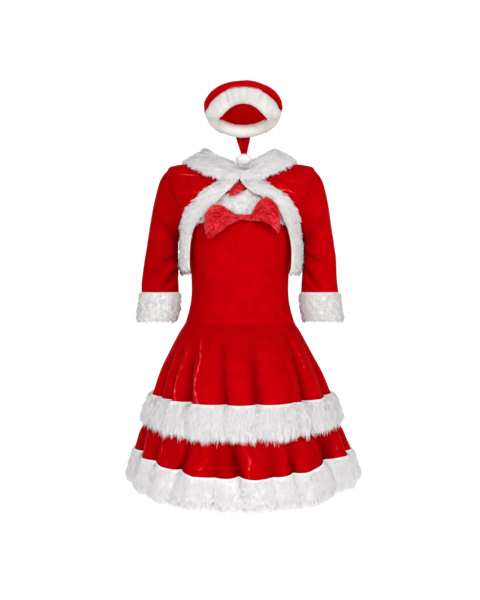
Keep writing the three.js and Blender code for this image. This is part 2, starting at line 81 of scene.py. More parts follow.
def read(rows, key, at, name):
    """The smooth value of one column: a cubic Hermite curve through the table's rows."""
    x, y = rows[key], rows[name]
    if x[0] > x[-1]:
        x, y = x[::-1], y[::-1]
    here = np.arange(len(x))
    before, after = np.maximum(here - 1, 0), np.minimum(here + 1, len(x) - 1)
    slope = (y[after] - y[before]) / (x[after] - x[before])
    at = np.clip(at, x[0], x[-1])
    i = np.clip(np.searchsorted(x, at) - 1, 0, len(x) - 2)
    step = x[i + 1] - x[i]
    t = (at - x[i]) / step
    rise = 3 * t**2 - 2 * t**3
    return (
        y[i] * (1 - rise)
        + y[i + 1] * rise
        + slope[i] * step * (t - 2 * t**2 + t**3)
        + slope[i + 1] * step * (t**3 - t**2)
    )


def ease(value, start, end):
    """0 before start, 1 after end, and a smooth step between them."""
    t = np.clip((value - start) / (end - start), 0, 1)
    return t * t * (3 - 2 * t)


def ring(half, front, back, turn, z):
    """Points on an ellipse at a turn in degrees: half sin, minus depth cos, z."""
    angle = np.radians(turn)
    depth = np.where(np.cos(angle) > 0, front, back)
    return xyz(half * np.sin(angle), -depth * np.cos(angle), z)


def grid(downs, turns):
    """Two arrays, rows by columns, of a down value and a turn at each point."""
    downs = np.asarray(downs, float)
    turns = np.asarray(turns, float)
    if turns.ndim == 1:
        turns = np.broadcast_to(turns, (len(downs), len(turns)))
    return np.broadcast_to(downs[:, None], turns.shape), turns


def unit(vectors):
    """The same directions at a length of 1."""
    return vectors / np.maximum(np.linalg.norm(vectors, axis=-1, keepdims=True), 1e-9)


def normals(points, around=False):
    """Unit directions out of a grid of points: the way down crossed with the way across."""
    if around:
        across = (np.roll(points, -1, 1) - np.roll(points, 1, 1)) / 2
    else:
        across = np.gradient(points, axis=1)
    return unit(np.cross(np.gradient(points, axis=0), across))


def xyz(x, y, z):
    """Points from three arrays, each spread over the others' shape."""
    return np.stack(np.broadcast_arrays(x, y, z), -1)


def going_down(start, end, count):
    """Even steps down a grid, as a column."""
    return np.linspace(start, end, count)[:, None]


def going_across(start, end, count, closed=False):
    """Even steps across a grid, as a row. Round a closed ring the last one is left out."""
    return np.linspace(start, end, count, endpoint=not closed)[None, :]


def bell(distance, width):
    """1 in the middle and less beside it: exp of minus (distance / width) squared."""
    return np.exp(-((distance / width) ** 2))


print("read() of a row halfway:", read(table("z w", (0, 1), (10, 3)), "z", 5, "w"))

# %% [markdown]
# A grid becomes a mesh in one step. Cloth gets a second layer behind the first and a rounded rim
# between the two, so it is a thin closed wall as real cloth is. Its width and length along the
# cloth go into a UV map, in metres.

# %% Meshes from grids
def quads(rows, columns, around, start=0, inside_out=False, over=False):
    """The faces of a grid numbered row by row from start. Its columns close on themselves if it
    goes around, and its rows if it goes over, as on a ring."""
    r = np.arange(rows if over else rows - 1)[:, None]
    c = np.arange(columns if around else columns - 1)[None, :]
    below, right = (r + 1) % rows, (c + 1) % columns
    corners = [r * columns + c, below * columns + c, below * columns + right, r * columns + right]
    faces = np.stack(corners, -1).reshape(-1, 4) + start
    return faces[:, ::-1] if inside_out else faces


def strip(first, second):
    """The faces between two lines of point numbers, looking out when both run clockwise."""
    return np.stack([first[:-1], first[1:], second[1:], second[:-1]], -1)


def edges(rows, columns, around):
    """The closed lines of point numbers round the open edges of a grid, seen from outside."""
    if around:
        closed = np.append(np.arange(columns), 0)
        return [closed, (rows - 1) * columns + closed[::-1]]
    top = np.arange(columns)
    right = np.arange(1, rows) * columns + columns - 1
    bottom = (rows - 1) * columns + np.arange(columns - 1)[::-1]
    left = np.arange(rows - 1)[::-1] * columns
    return [np.concatenate([top, right, bottom, left])]


def new_piece(name, points, faces, material, node, uv=None, nap=None, facing=None):
    """A mesh object of its points in millimetres, riding on the one body of the frame. A pile has
    no node, because its base stands for the strip. The painted light at each point is velvet's
    painted shade and highlight: 0.5 paints neither, less is painted shade, more is painted
    highlight. With facing, each point is shaded along its own direction."""
    mesh = bpy.data.meshes.new(name)
    faces = faces if isinstance(faces, list) else [faces]
    sizes = np.concatenate([np.full(len(f), f.shape[1]) for f in faces])
    corners = np.concatenate([f.ravel() for f in faces])
    mesh.vertices.add(len(points))
    mesh.vertices.foreach_set("co", (np.asarray(points) * MM).ravel())
    mesh.loops.add(len(corners))
    mesh.loops.foreach_set("vertex_index", corners.astype(np.int32))
    mesh.polygons.add(len(sizes))
    starts = np.concatenate([[0], np.cumsum(sizes)[:-1]])
    mesh.polygons.foreach_set("loop_start", starts.astype(np.int32))
    mesh.polygons.foreach_set("use_smooth", np.ones(len(sizes), bool))
    if uv is not None:
        layer = mesh.uv_layers.new(name="cloth")
        layer.data.foreach_set("uv", uv[corners].astype(np.float32).ravel())
    if nap is not None:
        layer = mesh.attributes.new("nap", "FLOAT", "POINT")
        layer.data.foreach_set("value", nap.astype(np.float32))
    mesh.update(calc_edges=True)
    if facing is not None:
        mesh.normals_split_custom_set_from_vertices(facing)
    mesh.materials.append(material)
    piece = bpy.data.objects.new(name, mesh)
    bpy.context.scene.collection.objects.link(piece)
    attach(piece, "root")
    if node:
        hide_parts(node)
    print(name, len(points), "points")
    return piece


def along(points):
    """How far each point lies across and down its grid, along the cloth, in millimetres."""
    across = np.linalg.norm(np.diff(points, axis=1), axis=-1)
    down = np.linalg.norm(np.diff(points, axis=0), axis=-1)
    u = np.concatenate([np.zeros((len(points), 1)), np.cumsum(across, 1)], 1)
    v = np.concatenate([np.zeros((1, points.shape[1])), np.cumsum(down, 0)], 0)
    return u, v


# Painted light: 0.5 paints no shade. The wrong side is a plainer, lighter ground, painted lighter
# still to lift the shade inside the hat.
NO_PAINTED_LIGHT, WRONG_SIDE_PAINTED_LIGHT = 0.5, 1.0
RIM_ROUND = 0.4


def cloth(name, points, wall, material, node, slot, around=False, out=None, nap=NO_PAINTED_LIGHT):
    """A thin closed wall: the given grid outside, a copy moved in, and a rounded rim."""
    rows, columns = points.shape[:2]
    count = rows * columns
    out = normals(points, around) if out is None else out
    flat, flat_inner = points.reshape(-1, 3), (points - out * wall).reshape(-1, 3)
    uv = np.stack(along(points), -1).reshape(-1, 2) * MM
    nap = np.broadcast_to(nap, (rows, columns)).ravel()
    # The outside carries its painted light; the wrong side its lighter ground with painted light.
    parts, maps, naps = [flat, flat_inner], [uv, uv], [nap, np.full(count, WRONG_SIDE_PAINTED_LIGHT)]
    facing = [out.reshape(-1, 3), -out.reshape(-1, 3)]
    faces = [quads(rows, columns, around), quads(rows, columns, around, count, True)]
    start = 2 * count
    for loop in edges(rows, columns, around):
        ids = loop[:-1]
        middle = (flat[ids] + flat_inner[ids]) / 2
        tangent = np.roll(middle, -1, 0) - np.roll(middle, 1, 0)
        away = unit(np.cross(tangent, flat_inner[ids] - flat[ids]))
        rim = start + np.append(np.arange(len(ids)), 0)
        parts.append(middle + away * wall * RIM_ROUND)
        maps.append(uv[ids])
        naps.append(nap[ids])
        facing.append(away)
        faces += [strip(loop, rim), strip(rim, loop + count)]
        start += len(ids)
    return new_piece(name, np.concatenate(parts), faces, material, node,
                     np.concatenate(maps), np.concatenate(naps), np.concatenate(facing))


def slab(name, outer, inner, material, node, around):
    """The closed solid of fur between two grids, joined edge to edge."""
    rows, columns = outer.shape[:2]
    count = rows * columns
    faces = [quads(rows, columns, around), quads(rows, columns, around, count, True)]
    faces += [strip(loop, loop + count) for loop in edges(rows, columns, around)]
    points = np.concatenate([outer.reshape(-1, 3), inner.reshape(-1, 3)])
    return new_piece(name, points, faces, material, node)


SEAM_DEPTH, SEAM_REACH = 0.6, 3.0


def sew_in(points, out, sides):
    """Lowers the cloth towards its sewn sides, by a bell of the distance from each."""
    u, v = along(points)
    distance = {"left": u, "right": u[:, -1:] - u, "top": v, "bottom": v[-1:] - v}
    dip = sum(bell(distance[side], SEAM_REACH) for side in sides)
    return points - out * (np.minimum(dip, 1) * SEAM_DEPTH)[..., None]


print("faces of a grid with 3 rows of 4 points:", len(quads(3, 4, False)))

# %% [markdown]
# Velvet is a short dense pile. Looked at straight on it is deep and dark, and towards an edge the
# tips of the pile catch the light, which the shader's sheen gives. The pile also lies a little one
# way and the other, so a slow noise varies the red, and a finer one roughens the surface. A
# painted light attribute scales the red: painted shade in the hollow of each fold, a painted
# highlight on its ridge, and on the wrong side, which is a plainer and lighter ground, painted
# light as well. Along a few ridges it adds a thin pink line of painted sheen, broken into specks.
# Satin is woven flat and close, so it is smooth and shiny, and it creases in sharp short lines,
# which are painted lighter as painted highlights.

# %% Materials
def new_material(name, color, roughness, **values):
    """A Principled material, its constants set on the shader's own sockets."""
    material = bpy.data.materials.new(name)
    material.use_nodes = True
    shader = material.node_tree.nodes["Principled BSDF"]
    shader.inputs["Base Color"].default_value = (*color, 1)
    shader.inputs["Roughness"].default_value = roughness
    for socket, value in values.items():
        shader.inputs[socket.replace("_", " ")].default_value = value
    return material, material.node_tree, shader


def coordinate(tree, space, axis):
    """One axis of the object's own coordinates, or of its UV map."""
    split = tree.nodes.new("ShaderNodeSeparateXYZ")
    place = tree.nodes.new("ShaderNodeTexCoord")
    tree.links.new(place.outputs[space], split.inputs["Vector"])
    return split.outputs[axis]


def noise(tree, scale, detail=3.0, roughness=0.5):
    """Noise on the object's own coordinates."""
    place = tree.nodes.new("ShaderNodeTexCoord")
    texture = tree.nodes.new("ShaderNodeTexNoise")
    texture.inputs["Scale"].default_value = scale
    texture.inputs["Detail"].default_value = detail
    texture.inputs["Roughness"].default_value = roughness
    tree.links.new(place.outputs["Object"], texture.inputs["Vector"])
    return texture.outputs["Fac"]


def distance_from(tree, source, centre):
    """How far a value is from a centre, on either side."""
    apart, away = tree.nodes.new("ShaderNodeMath"), tree.nodes.new("ShaderNodeMath")
    apart.operation, away.operation = "SUBTRACT", "ABSOLUTE"
    apart.inputs[1].default_value = centre
    tree.links.new(source, apart.inputs[0])
    tree.links.new(apart.outputs[0], away.inputs[0])
    return away.outputs[0]


def run_between(tree, source, low, high, first, last):
    """A value that runs from first to last while its source runs from low to high."""
    run = tree.nodes.new("ShaderNodeMapRange")
    for socket, value in zip(run.inputs[1:5], (low, high, first, last)):
        socket.default_value = value
    tree.links.new(source, run.inputs["Value"])
    return run.outputs["Result"]


def ramp(tree, source, first, last, *middle):
    """Colours that run into each other, each given with its place along the source."""
    colors = tree.nodes.new("ShaderNodeValToRGB")
    marks = colors.color_ramp.elements
    for mark, (place, color) in zip(marks, (first, last)):
        mark.position, mark.color = place, (*color, 1)
    for place, color in middle:
        marks.new(place).color = (*color, 1)
    tree.links.new(source, colors.inputs["Fac"])
    return colors.outputs["Color"]


def blend(tree, way, share, below, above):
    """Two colours multiplied or added."""
    mix = tree.nodes.new("ShaderNodeMix")
    mix.data_type, mix.blend_type = "RGBA", way
    if isinstance(share, float):
        mix.inputs[0].default_value = share
    else:
        tree.links.new(share, mix.inputs[0])
    tree.links.new(below, mix.inputs[6])
    tree.links.new(above, mix.inputs[7])
    return mix.outputs[2]


def vary_color(tree, shader, source, dark, light, low=0.3, high=0.7):
    """The base colour runs from dark to light with a texture."""
    tree.links.new(ramp(tree, source, (low, dark), (high, light)), shader.inputs["Base Color"])


def roughen(tree, shader, source, strength, distance):
    """A bump from a texture, its height in millimetres."""
    bump = tree.nodes.new("ShaderNodeBump")
    bump.inputs["Strength"].default_value = strength
    bump.inputs["Distance"].default_value = distance * MM
    tree.links.new(source, bump.inputs["Height"])
    tree.links.new(bump.outputs["Normal"], shader.inputs["Normal"])


def velvet_material():
    """A red that varies slowly, times its painted shade and light, plus a pink painted sheen."""
    material, tree, shader = new_material(
        "red_velvet", (0.38, 0.0, 0.002), 0.9, Sheen_Weight=0.3, Sheen_Roughness=0.25,
        Sheen_Tint=(1.0, 0.15, 0.15, 1), Specular_IOR_Level=0.0,
    )
    red = ramp(tree, noise(tree, 38, 6, 0.65), (0.3, (0.68, 0.0, 0.002)), (0.7, (0.86, 0.0, 0.006)))
    nap = tree.nodes.new("ShaderNodeAttribute")
    nap.attribute_name = "nap"
    # Painted shade and light: hollows down to 0.2, smooth cloth 0.5, the wrong side up to 1.2.
    painted_shade_level = ramp(tree, nap.outputs["Fac"], (0, (0.2,) * 3), (WRONG_SIDE_PAINTED_LIGHT, (1.2,) * 3),
               (NO_PAINTED_LIGHT, (0.5,) * 3), (0.75, (0.56,) * 3))
    # Painted sheen: a pink line where the painted light is near 0.85.
    painted_sheen = ramp(tree, nap.outputs["Fac"], (0.64, (0,) * 3), (0.97, (0,) * 3),
                 (0.85, (0.42, 0.13, 0.13)))
    speckle = run_between(tree, noise(tree, 520, 2), 0.46, 0.62, 0, 1)
    shaded_red = blend(tree, "MULTIPLY", 1.0, red, painted_shade_level)
    tree.links.new(blend(tree, "ADD", speckle, shaded_red, painted_sheen), shader.inputs["Base Color"])
    roughen(tree, shader, noise(tree, 170, 6, 0.75), 0.5, 0.9)
    return material


def satin_material():
    """A tight sheen. Where a slow noise crosses its middle runs a sharp fold line, 1 there and 0
    beside it: it stands up as a bump and is painted lighter, as a painted highlight."""
    material, tree, shader = new_material(
        "pinkish_red_satin", (0.46, 0.003, 0.01), 0.22, Specular_IOR_Level=1.0,
        Specular_Tint=(1.0, 0.2, 0.24, 1), Anisotropic=0.3,
    )
    away = distance_from(tree, noise(tree, 36, 1.0), 0.5)
    crease_and_highlight = run_between(tree, away, 0.0, 0.05, 1.0, 0.0)
    # Painted highlight: the colour is lighter along each fold line.
    vary_color(tree, shader, crease_and_highlight, (0.43, 0.0015, 0.006), (0.72, 0.016, 0.034), 0.1, 0.9)
    roughen(tree, shader, crease_and_highlight, 0.9, 1.6)
    return material


VELVET = velvet_material()
SATIN = satin_material()
print("made", VELVET.name, "and", SATIN.name)

# %% [markdown]
# Fur is thousands of hairs on a backing, and it looks plump because the hairs stand on each other.
# A particle system would be quick to set up, but its hairs are not mesh, and a reusable part needs
# mesh. So each fur piece is a plump base, and over it a pile: one joined mesh of hairs, each only a
# root point, a ring of three and a tip. Hairs near each other lean to one tip, as real fur clumps.
# Their normals are turned towards the base's, so the pile shades softly as one body.

# %% Fur material
def fur_material(name, root, tip, uv, glow):
    """White pile, with painted shade: darker and warmer at the roots, where the hairs shade each
    other, and lighter at the tips. On a pile the hair's UV gives how far along it is; on a base a
    noise stands for the shaded roots that show. A little glow is painted light, which lifts the
    plush out of its shade."""
    material, tree, shader = new_material(
        name, tip, 0.9, Specular_IOR_Level=0.1, Sheen_Weight=0.15, Sheen_Roughness=0.5,
        Emission_Color=(1, 1, 1, 1), Emission_Strength=glow,
    )
    if uv:
        vary_color(tree, shader, coordinate(tree, "UV", "Y"), root, tip, 0.15, 0.85)
    else:
        fine = noise(tree, 260, 4, 0.6)
        vary_color(tree, shader, fine, root, tip, 0.35, 0.65)
        roughen(tree, shader, fine, 0.35, 1.2)
    return material


def paint_shade_past(material, axis, centre, low, high, share):
    """Painted shade: multiplies the colour by 1 up to one distance from a centre along an axis, and
    by a share from another distance on."""
    tree = material.node_tree
    color = tree.nodes["Principled BSDF"].inputs["Base Color"]
    away = distance_from(tree, coordinate(tree, "Object", axis), centre * MM)
    scale = tree.nodes.new("ShaderNodeVectorMath")
    scale.operation = "SCALE"
    tree.links.new(color.links[0].from_socket, scale.inputs["Vector"])
    tree.links.new(run_between(tree, away, low * MM, high * MM, 1, share), scale.inputs["Scale"])
    tree.links.new(scale.outputs["Vector"], color)


def fur_pair(name, root, tip, base_root, base_tip, glow=0.0):
    """The material of a pile and the one of the base under it."""
    return (fur_material(name, root, tip, True, glow),
            fur_material(f"{name}_base", base_root, base_tip, False, glow))


# The darker roots are painted shade.
FUR_ROOT, FUR_TIP = (0.70, 0.68, 0.68), (0.85, 0.835, 0.835)
# These tones are the white fur painted darker, as painted shade, for the bust strip and cuffs.
DENSE_SHADED = (0.66, 0.64, 0.635), (0.72, 0.70, 0.695)
PLUSH = (0.62, 0.595, 0.56), (0.72, 0.70, 0.67)
POMPOM = FUR_TIP, (0.95, 0.94, 0.94)
WHITE_FUR = fur_pair("white_fur", FUR_ROOT, FUR_TIP, (0.72, 0.705, 0.705), (0.81, 0.795, 0.795))
DENSE_SHADED_FUR = fur_pair("white_fur_dense_shaded", *DENSE_SHADED, *DENSE_SHADED)
# The hat's plush and the pompom get a little painted glow, which lifts their shade.
HAT_PLUSH = fur_pair("warm_white_plush", *PLUSH, *PLUSH, 0.12)
POMPOM_PLUSH = fur_pair("pompom_plush", *POMPOM, *POMPOM, 0.2)
# Painted shade on the hat's plush: darker towards the top of the roll, to 0.7, and towards its
# sides, to 0.8.
for plush in HAT_PLUSH:
    paint_shade_past(plush, "Z", 0, 100, 135, 0.7)
    paint_shade_past(plush, "X", 8, 48, 84, 0.8)
print("made", *(hairs.name for hairs, under in (WHITE_FUR, DENSE_SHADED_FUR, HAT_PLUSH, POMPOM_PLUSH)))

# %% [markdown]
# A pile is scattered by area, so it is equally dense wherever the cloth is stretched or gathered.
# The same seeds give the same hairs each time. Slow uneven waves, each a sum of sines that run
# every way, give the lumps that the hand feels in a fur.

# %% Hairs
def waves(u, v, size, seed, count=14):
    """A smooth uneven field, mostly between -1 and 1: a sum of sines that run every way."""
    total = np.zeros(np.broadcast(u, v).shape)
    chances = np.random.default_rng(seed).random((count, 3))
    for heading, phase, stretch in chances * (math.pi, 2 * math.pi, 1):
        step = 2 * math.pi / (size * (0.6 + stretch))
        total += np.sin(step * (u * math.cos(heading) + v * math.sin(heading)) + phase)
    return total / math.sqrt(count)


def scatter(points, count, rng, around):
    """Random places on a grid, as many in each cell as its area asks for. Gives, for each place,
    its point, the directions out, across and down, and how far across and down it lies."""
    if around:
        points = np.concatenate([points, points[:, :1]], 1)
    out = normals(points)
    if around:
        out[:, 0] = out[:, -1] = unit(out[:, 0] + out[:, -1])
    across, down = np.gradient(points, axis=1), np.gradient(points, axis=0)
    u, v = along(points)
    everything = np.concatenate([points, out, across, down, u[..., None], v[..., None]], -1)
    area = np.linalg.norm(np.cross(across, down), axis=-1)[:-1, :-1]
    cell = rng.choice(area.size, count, p=(area / area.sum()).ravel())
    r, c = np.divmod(cell, area.shape[1])
    a, b = rng.random((2, count, 1))
    mixed = (
        (1 - a) * (1 - b) * everything[r, c] + a * (1 - b) * everything[r + 1, c]
        + (1 - a) * b * everything[r, c + 1] + a * b * everything[r + 1, c + 1]
    )
    place, out, across, down = (mixed[:, 3 * i : 3 * i + 3] for i in range(4))
    return place, unit(out), unit(across), unit(down), mixed[:, 12], mixed[:, 13]


def clumps(u, v, size, rng):
    """For each place, the way across and down to the nearest of many jittered centres, and three
    chance numbers that the whole clump shares."""
    columns, rows = int(u.max() / size) + 3, int(v.max() / size) + 3
    chances = rng.random((rows, columns, 5))
    near = np.full(len(u), np.inf)
    found = np.zeros((len(u), 5))
    row, column = (v / size).astype(int), (u / size).astype(int)
    for i in (-1, 0, 1):
        for j in (-1, 0, 1):
            r, c = np.clip(row + i, 0, rows - 1), np.clip(column + j, 0, columns - 1)
            chance = chances[r, c]
            to_u = (c + chance[:, 0]) * size - u
            to_v = (r + chance[:, 1]) * size - v
            distance = np.hypot(to_u, to_v)
            closer = distance < near
            near = np.where(closer, distance, near)
            here = np.stack([to_u, to_v, *chance[:, 2:].T], -1)
            found = np.where(closer[:, None], here, found)
    return found


HAIR_MIDDLE = 0.45
HAIR_FACES = [(0, 2, 1), (0, 3, 2), (0, 1, 3), (4, 1, 2), (4, 2, 3), (4, 3, 1)]


def pile(name, points, count, length, seed, material, rise=0.7, fall=0.6, sway=0.3, gravity=0.2,
         clump=9.0, pull=0.55, width=0.9, around=False, slot="fur"):
    """Hairs over a grid. A hair leaves along rise * out + fall * down + sway * across, and its
    second half falls further. Its middle and tip move part of the way to its clump's centre. It
    is a root, a ring of three points in the middle, and a tip."""
    rng = np.random.default_rng(seed)
    place, out, across, down, u, v = scatter(points, count, rng, around)
    to_u, to_v, long, side, lift = clumps(u, v, clump, rng).T[:, :, None]
    hair = length * (0.65 + 0.5 * long) * (0.8 + 0.4 * rng.random((count, 1)))
    stray = rng.normal(0, 0.14, (count, 3))
    way = rise * (0.7 + 0.6 * lift) * out + sway * (2 * side - 1) * across + stray
    gather = across * to_u + down * to_v
    first = unit(way + 0.6 * fall * down)
    second = unit(0.6 * way + fall * down + (0, 0, -gravity))
    root = place - out
    middle = root + first * hair * HAIR_MIDDLE + gather * pull * 0.35
    tip = middle + second * hair * (1 - HAIR_MIDDLE) + gather * pull * 0.65
    axis = unit(tip - root)
    side_a = unit(np.cross(axis, across + 0.3 * stray))
    side_b = np.cross(axis, side_a)
    turn = rng.random((count, 1)) * 2 * math.pi
    thick = width * (0.75 + 0.5 * rng.random((count, 1))) / 2
    points_of, normals_of = [root], [out]
    for third in range(3):
        angle = turn + third * 2 * math.pi / 3
        aside = side_a * np.cos(angle) + side_b * np.sin(angle)
        points_of.append(middle + aside * thick)
        normals_of.append(unit(out + 0.5 * aside))
    points_of.append(tip)
    normals_of.append(unit(out + 0.4 * axis))
    faces = (np.arange(count)[:, None, None] * 5 + np.array(HAIR_FACES)).reshape(-1, 3)
    tone = rng.random((count, 1))
    along_hair = (0, HAIR_MIDDLE, HAIR_MIDDLE, HAIR_MIDDLE, 1)
    uv = np.stack(np.broadcast_arrays(tone, along_hair), -1)
    return new_piece(name, np.stack(points_of, 1).reshape(-1, 3), faces, material, None,
                     uv.reshape(-1, 2), facing=np.stack(normals_of, 1).reshape(-1, 3))


print("the highest wave is", round(float(waves(*np.mgrid[:99, :99], 20, 1).max()), 2))

# %% [markdown]
# The dress starts from the same sections as the frame's solids. Above the drop waist it is smooth;
# below, folds grow from nothing at the seam to their full depth at the hem. Each fold is a soft
# ridge or trough given in a table: where it starts, how far round it drifts by the hem, how wide
# it is there, how deep, and how far down it begins. A last table lists the few ridges along which
# a thin line of painted sheen is added.

# %% Sections and folds of the dress
DRESS = table(
    "z half front back",
    (-92, 124, 94, 86),
    (-130, 128, 103, 92),
    (-175, 130, 108, 94),
    (-215, 127, 102, 93),
    (-273, 122, 93, 90),
    (-340, 122, 92, 92),
    (-397, 136, 103, 106),
    (-420, 150, 124, 126),
    (-467, 175, 157, 157),
    (-515, 199, 186, 186),
    (-567, 217, 205, 205),
    (-626, 233, 221, 221),
)
FLOUNCE = table(
    "z half front back",
    (-626.3, 220, 208, 208),
    (-640, 235, 223, 223),
    (-654, 247, 235, 235),
    (-682, 256, 244, 244),
    (-711, 264, 251, 251),
    (-770, 270, 257, 257),
)
DROP_WAIST = -397
UPPER_HEM = -626
FLOUNCE_HEM = -770
UPPER_FOLDS = table(
    "turn drift width depth start",
    (-76, 1, 5, 5, 0.3),
    (-65, 2, 3.6, -10, 0.1),
    (-53, 4, 2.4, -11, 0.1),
    (-48.5, 4, 2.0, 6, 0.1),
    (-41.3, 10.5, 2.9, -18, 0.0),
    (-35.5, 10, 2.4, 6, 0.0),
    (-24, 3, 6, 7, 0.0),
    (-15.5, 8, 2.4, -15, 0.04),
    (-2, 1, 4.5, 6, 0.0),
    (9.5, 0, 2.7, -15, 0.02),
    (22, -2, 6, 7, 0.0),
    (37.5, -6, 1.8, -7, 0.0),
    (48, -7, 2.7, -18, 0.0),
    (57, -3, 4, 7, 0.0),
    (69, 0, 3.6, -10, 0.1),
    (81, 0, 5, 5, 0.35),
    (104, 2, 5, -10, 0.1),
    (122, 2, 5, 8, 0.1),
    (138, 0, 2.8, -14, 0.0),
    (152, 1, 5, 7, 0.05),
    (166, 0, 2.8, -13, 0.0),
    (179, 0, 5, 7, 0.1),
    (193, -1, 2.8, -14, 0.0),
    (208, -1, 5, 7, 0.1),
    (222, -2, 2.8, -13, 0.05),
    (237, -2, 5, 7, 0.1),
    (254, -2, 4, -10, 0.1),
)
FLOUNCE_FOLDS = table(
    "turn drift width depth start",
    (-80, 0, 4, 8, 0),
    (-70, 0, 3.4, -18, 0),
    (-59, 1, 4, 10, 0),
    (-50, 0, 2.4, -10, 0),
    (-42, 0, 4, 6, 0),
    (-28.5, -6, 2.4, -18, 0),
    (-21, -3, 3.6, 8, 0),
    (-13, 0, 2.2, -7, 0.1),
    (-6.4, 8, 2.4, -20, 0),
    (4, 4, 4, 8, 0),
    (14, 1, 2.2, -7, 0.1),
    (24.5, 2, 2.2, -14, 0),
    (32, 0, 4, 7, 0),
    (48.5, 1, 4.6, -24, 0),
    (63, 0, 5, 13, 0),
    (71, 0, 2, -8, 0),
    (78, 0, 4, 9, 0),
    (88, 0, 3, -10, 0),
    (99, 0, 4, 8, 0),
    (110, 0, 2.6, -15, 0),
    (122, 0, 4.5, 9, 0),
    (134, 0, 2.6, -18, 0),
    (146, 0, 4, 8, 0),
    (157, 0, 2.6, -15, 0),
    (169, 0, 4.5, 9, 0),
    (181, 0, 2.6, -18, 0),
    (193, 0, 4, 8, 0),
    (204, 0, 2.6, -15, 0),
    (216, 0, 4.5, 9, 0),
    (228, 0, 2.6, -18, 0),
    (240, 0, 4, 8, 0),
    (251, 0, 2.6, -14, 0),
    (262, 0, 4, 7, 0),
)


def each(rows):
    """The rows of a table, one after another."""
    return zip(*rows.values())


def degrees_apart(turn, other):
    """From one turn to another, the short way round."""
    return (turn - other + 180) % 360 - 180


def fold_out(folds, turn, share):
    """How far folds move the cloth out: a sum of depth exp(-|apart / width| to the power 1.5)."""
    out = np.zeros(np.broadcast(turn, share).shape)
    for turn_0, drift, width, depth, start in each(folds):
        apart = degrees_apart(turn - turn_0, drift * share)
        grown = np.clip((share - start) / (1 - start), 0, 1)
        out = out + depth * (2 * grown - grown**2) * np.exp(-np.abs(apart / width) ** 1.5)
    return out


UPPER = {"rings": DRESS, "folds": UPPER_FOLDS, "start": DROP_WAIST - 8, "end": UPPER_HEM,
         "deepest": 38, "under_fur": (405, 600)}
LOWER = {"rings": FLOUNCE, "folds": FLOUNCE_FOLDS, "start": -630, "end": FLOUNCE_HEM,
         "deepest": 28, "under_fur": (630, 770)}


def share_down(cut, z):
    """How far down a tier a height is: 0 where its folds start, 1 at its hem."""
    return np.clip((cut["start"] - z) / (cut["start"] - cut["end"]), 0, 1)


def tier(cut, z, turn):
    """A ring of the table at height z, moved out by the folds. Below the waist the skirt hangs a
    little towards +X."""
    out = fold_out(cut["folds"], turn, share_down(cut, z))
    points = ring(*(read(cut["rings"], "z", z, name) + out for name in ("half", "front", "back")),
                  turn, z)
    points[..., 0] += 4.5 * ease(-z, 430, 640)
    return points


def dress(z, turn):
    """The bodice and the upper tier, which are one surface."""
    return tier(UPPER, z, turn)


# Lines of painted sheen on the two skirt tiers.
PAINTED_SHEEN_LINES = table(
    "lower turn drift start end strength",
    (0, -60, 3, 0.3, 1.0, 0.34),
    (0, -48, 5, 0.1, 0.9, 0.33),
    (0, -35, 11, 0.02, 0.97, 0.36),
    (0, -11, 6, 0.3, 0.95, 0.27),
    (0, 15, -1, 0.1, 0.6, 0.24),
    (0, 36, -5, 0.1, 0.9, 0.30),
    (0, 53, -6, 0.05, 0.6, 0.34),
    (1, -62, 1, 0.1, 0.9, 0.44),
    (1, -46, -1, 0.1, 0.8, 0.46),
    (1, -31, -6, 0.0, 0.8, 0.48),
    (1, -18, -2, 0.1, 0.7, 0.42),
    (1, 0, 7, 0.1, 0.8, 0.46),
    (1, 20, 2, 0.1, 0.7, 0.40),
    (1, 41, 1, 0.1, 0.9, 0.44),
    (1, 57, 0, 0.2, 0.9, 0.42),
)


def painted_fold_light(cut, z, turn):
    """The painted light in the folds of a tier: painted shade in hollows, below zero, and a painted
    highlight on ridges, above it. Along a few ridges a thin broken line of painted sheen is added."""
    share = share_down(cut, z)
    nap = np.clip(fold_out(cut["folds"], turn, share) / cut["deepest"], -0.4, 0.1)
    for lower, turn_0, drift, first, last, strength in each(PAINTED_SHEEN_LINES):
        apart = turn - turn_0 - drift * share + 1.2 * np.sin(14 * share)
        broken = 0.7 + 0.3 * np.sin(37 * share + turn_0) * np.sin(90 * share)
        shown = ease(share, first, first + 0.1) * (1 - ease(share, last - 0.2, last))
        if bool(lower) == (cut is LOWER):
            nap = nap + strength * broken * shown * bell(apart, 0.9)
    return nap


def flounce(z, turn):
    """The lower tier. Its hem is cut a little higher towards the sides, and the left side falls
    a little closer."""
    points = tier(LOWER, z, turn)
    side = np.sin(np.radians(turn))
    points[..., 0] += 7 * ease(-side, 0.5, 1) * ease(-z, 660, 740)
    rise = np.where(side < 0, 6, 10) * ease(np.abs(side), 0.55, 0.92)
    points[..., 2] += rise * ease(-z, 660, 770)
    return points


HALF_WAIST_GAP = 0.15


def bodice_top(turn):
    """The height of the bodice's top edge: higher at the front, lower at the back."""
    cosine = np.cos(np.radians(turn))
    return -128 + np.where(cosine > 0, 38, -10) * cosine**2


def bodice(share, turn):
    """The bodice from its top edge, share 0, to the drop waist, share 1."""
    top = bodice_top(turn)
    return dress(top + (DROP_WAIST + HALF_WAIST_GAP - top) * share, turn)


for name, hem in (("upper", dress(UPPER_HEM, np.arange(360.0))),
                  ("lower", flounce(FLOUNCE_HEM, np.arange(360.0)))):
    print("the hem of the", name, "tier is", round(float(np.ptp(hem[:, 0]))), "mm wide")

# %% [markdown]
# A princess seam joins the front of the bodice to each side front. The panels stay about 0.4 mm
# apart there, and each one rolls in over its last few millimetres, as cloth does where it is
# turned to the inside and sewn.

# %% Bodice
VELVET_WALL = 2.0
SEAM_TURN = 0.1
PRINCESS_TURN = 50


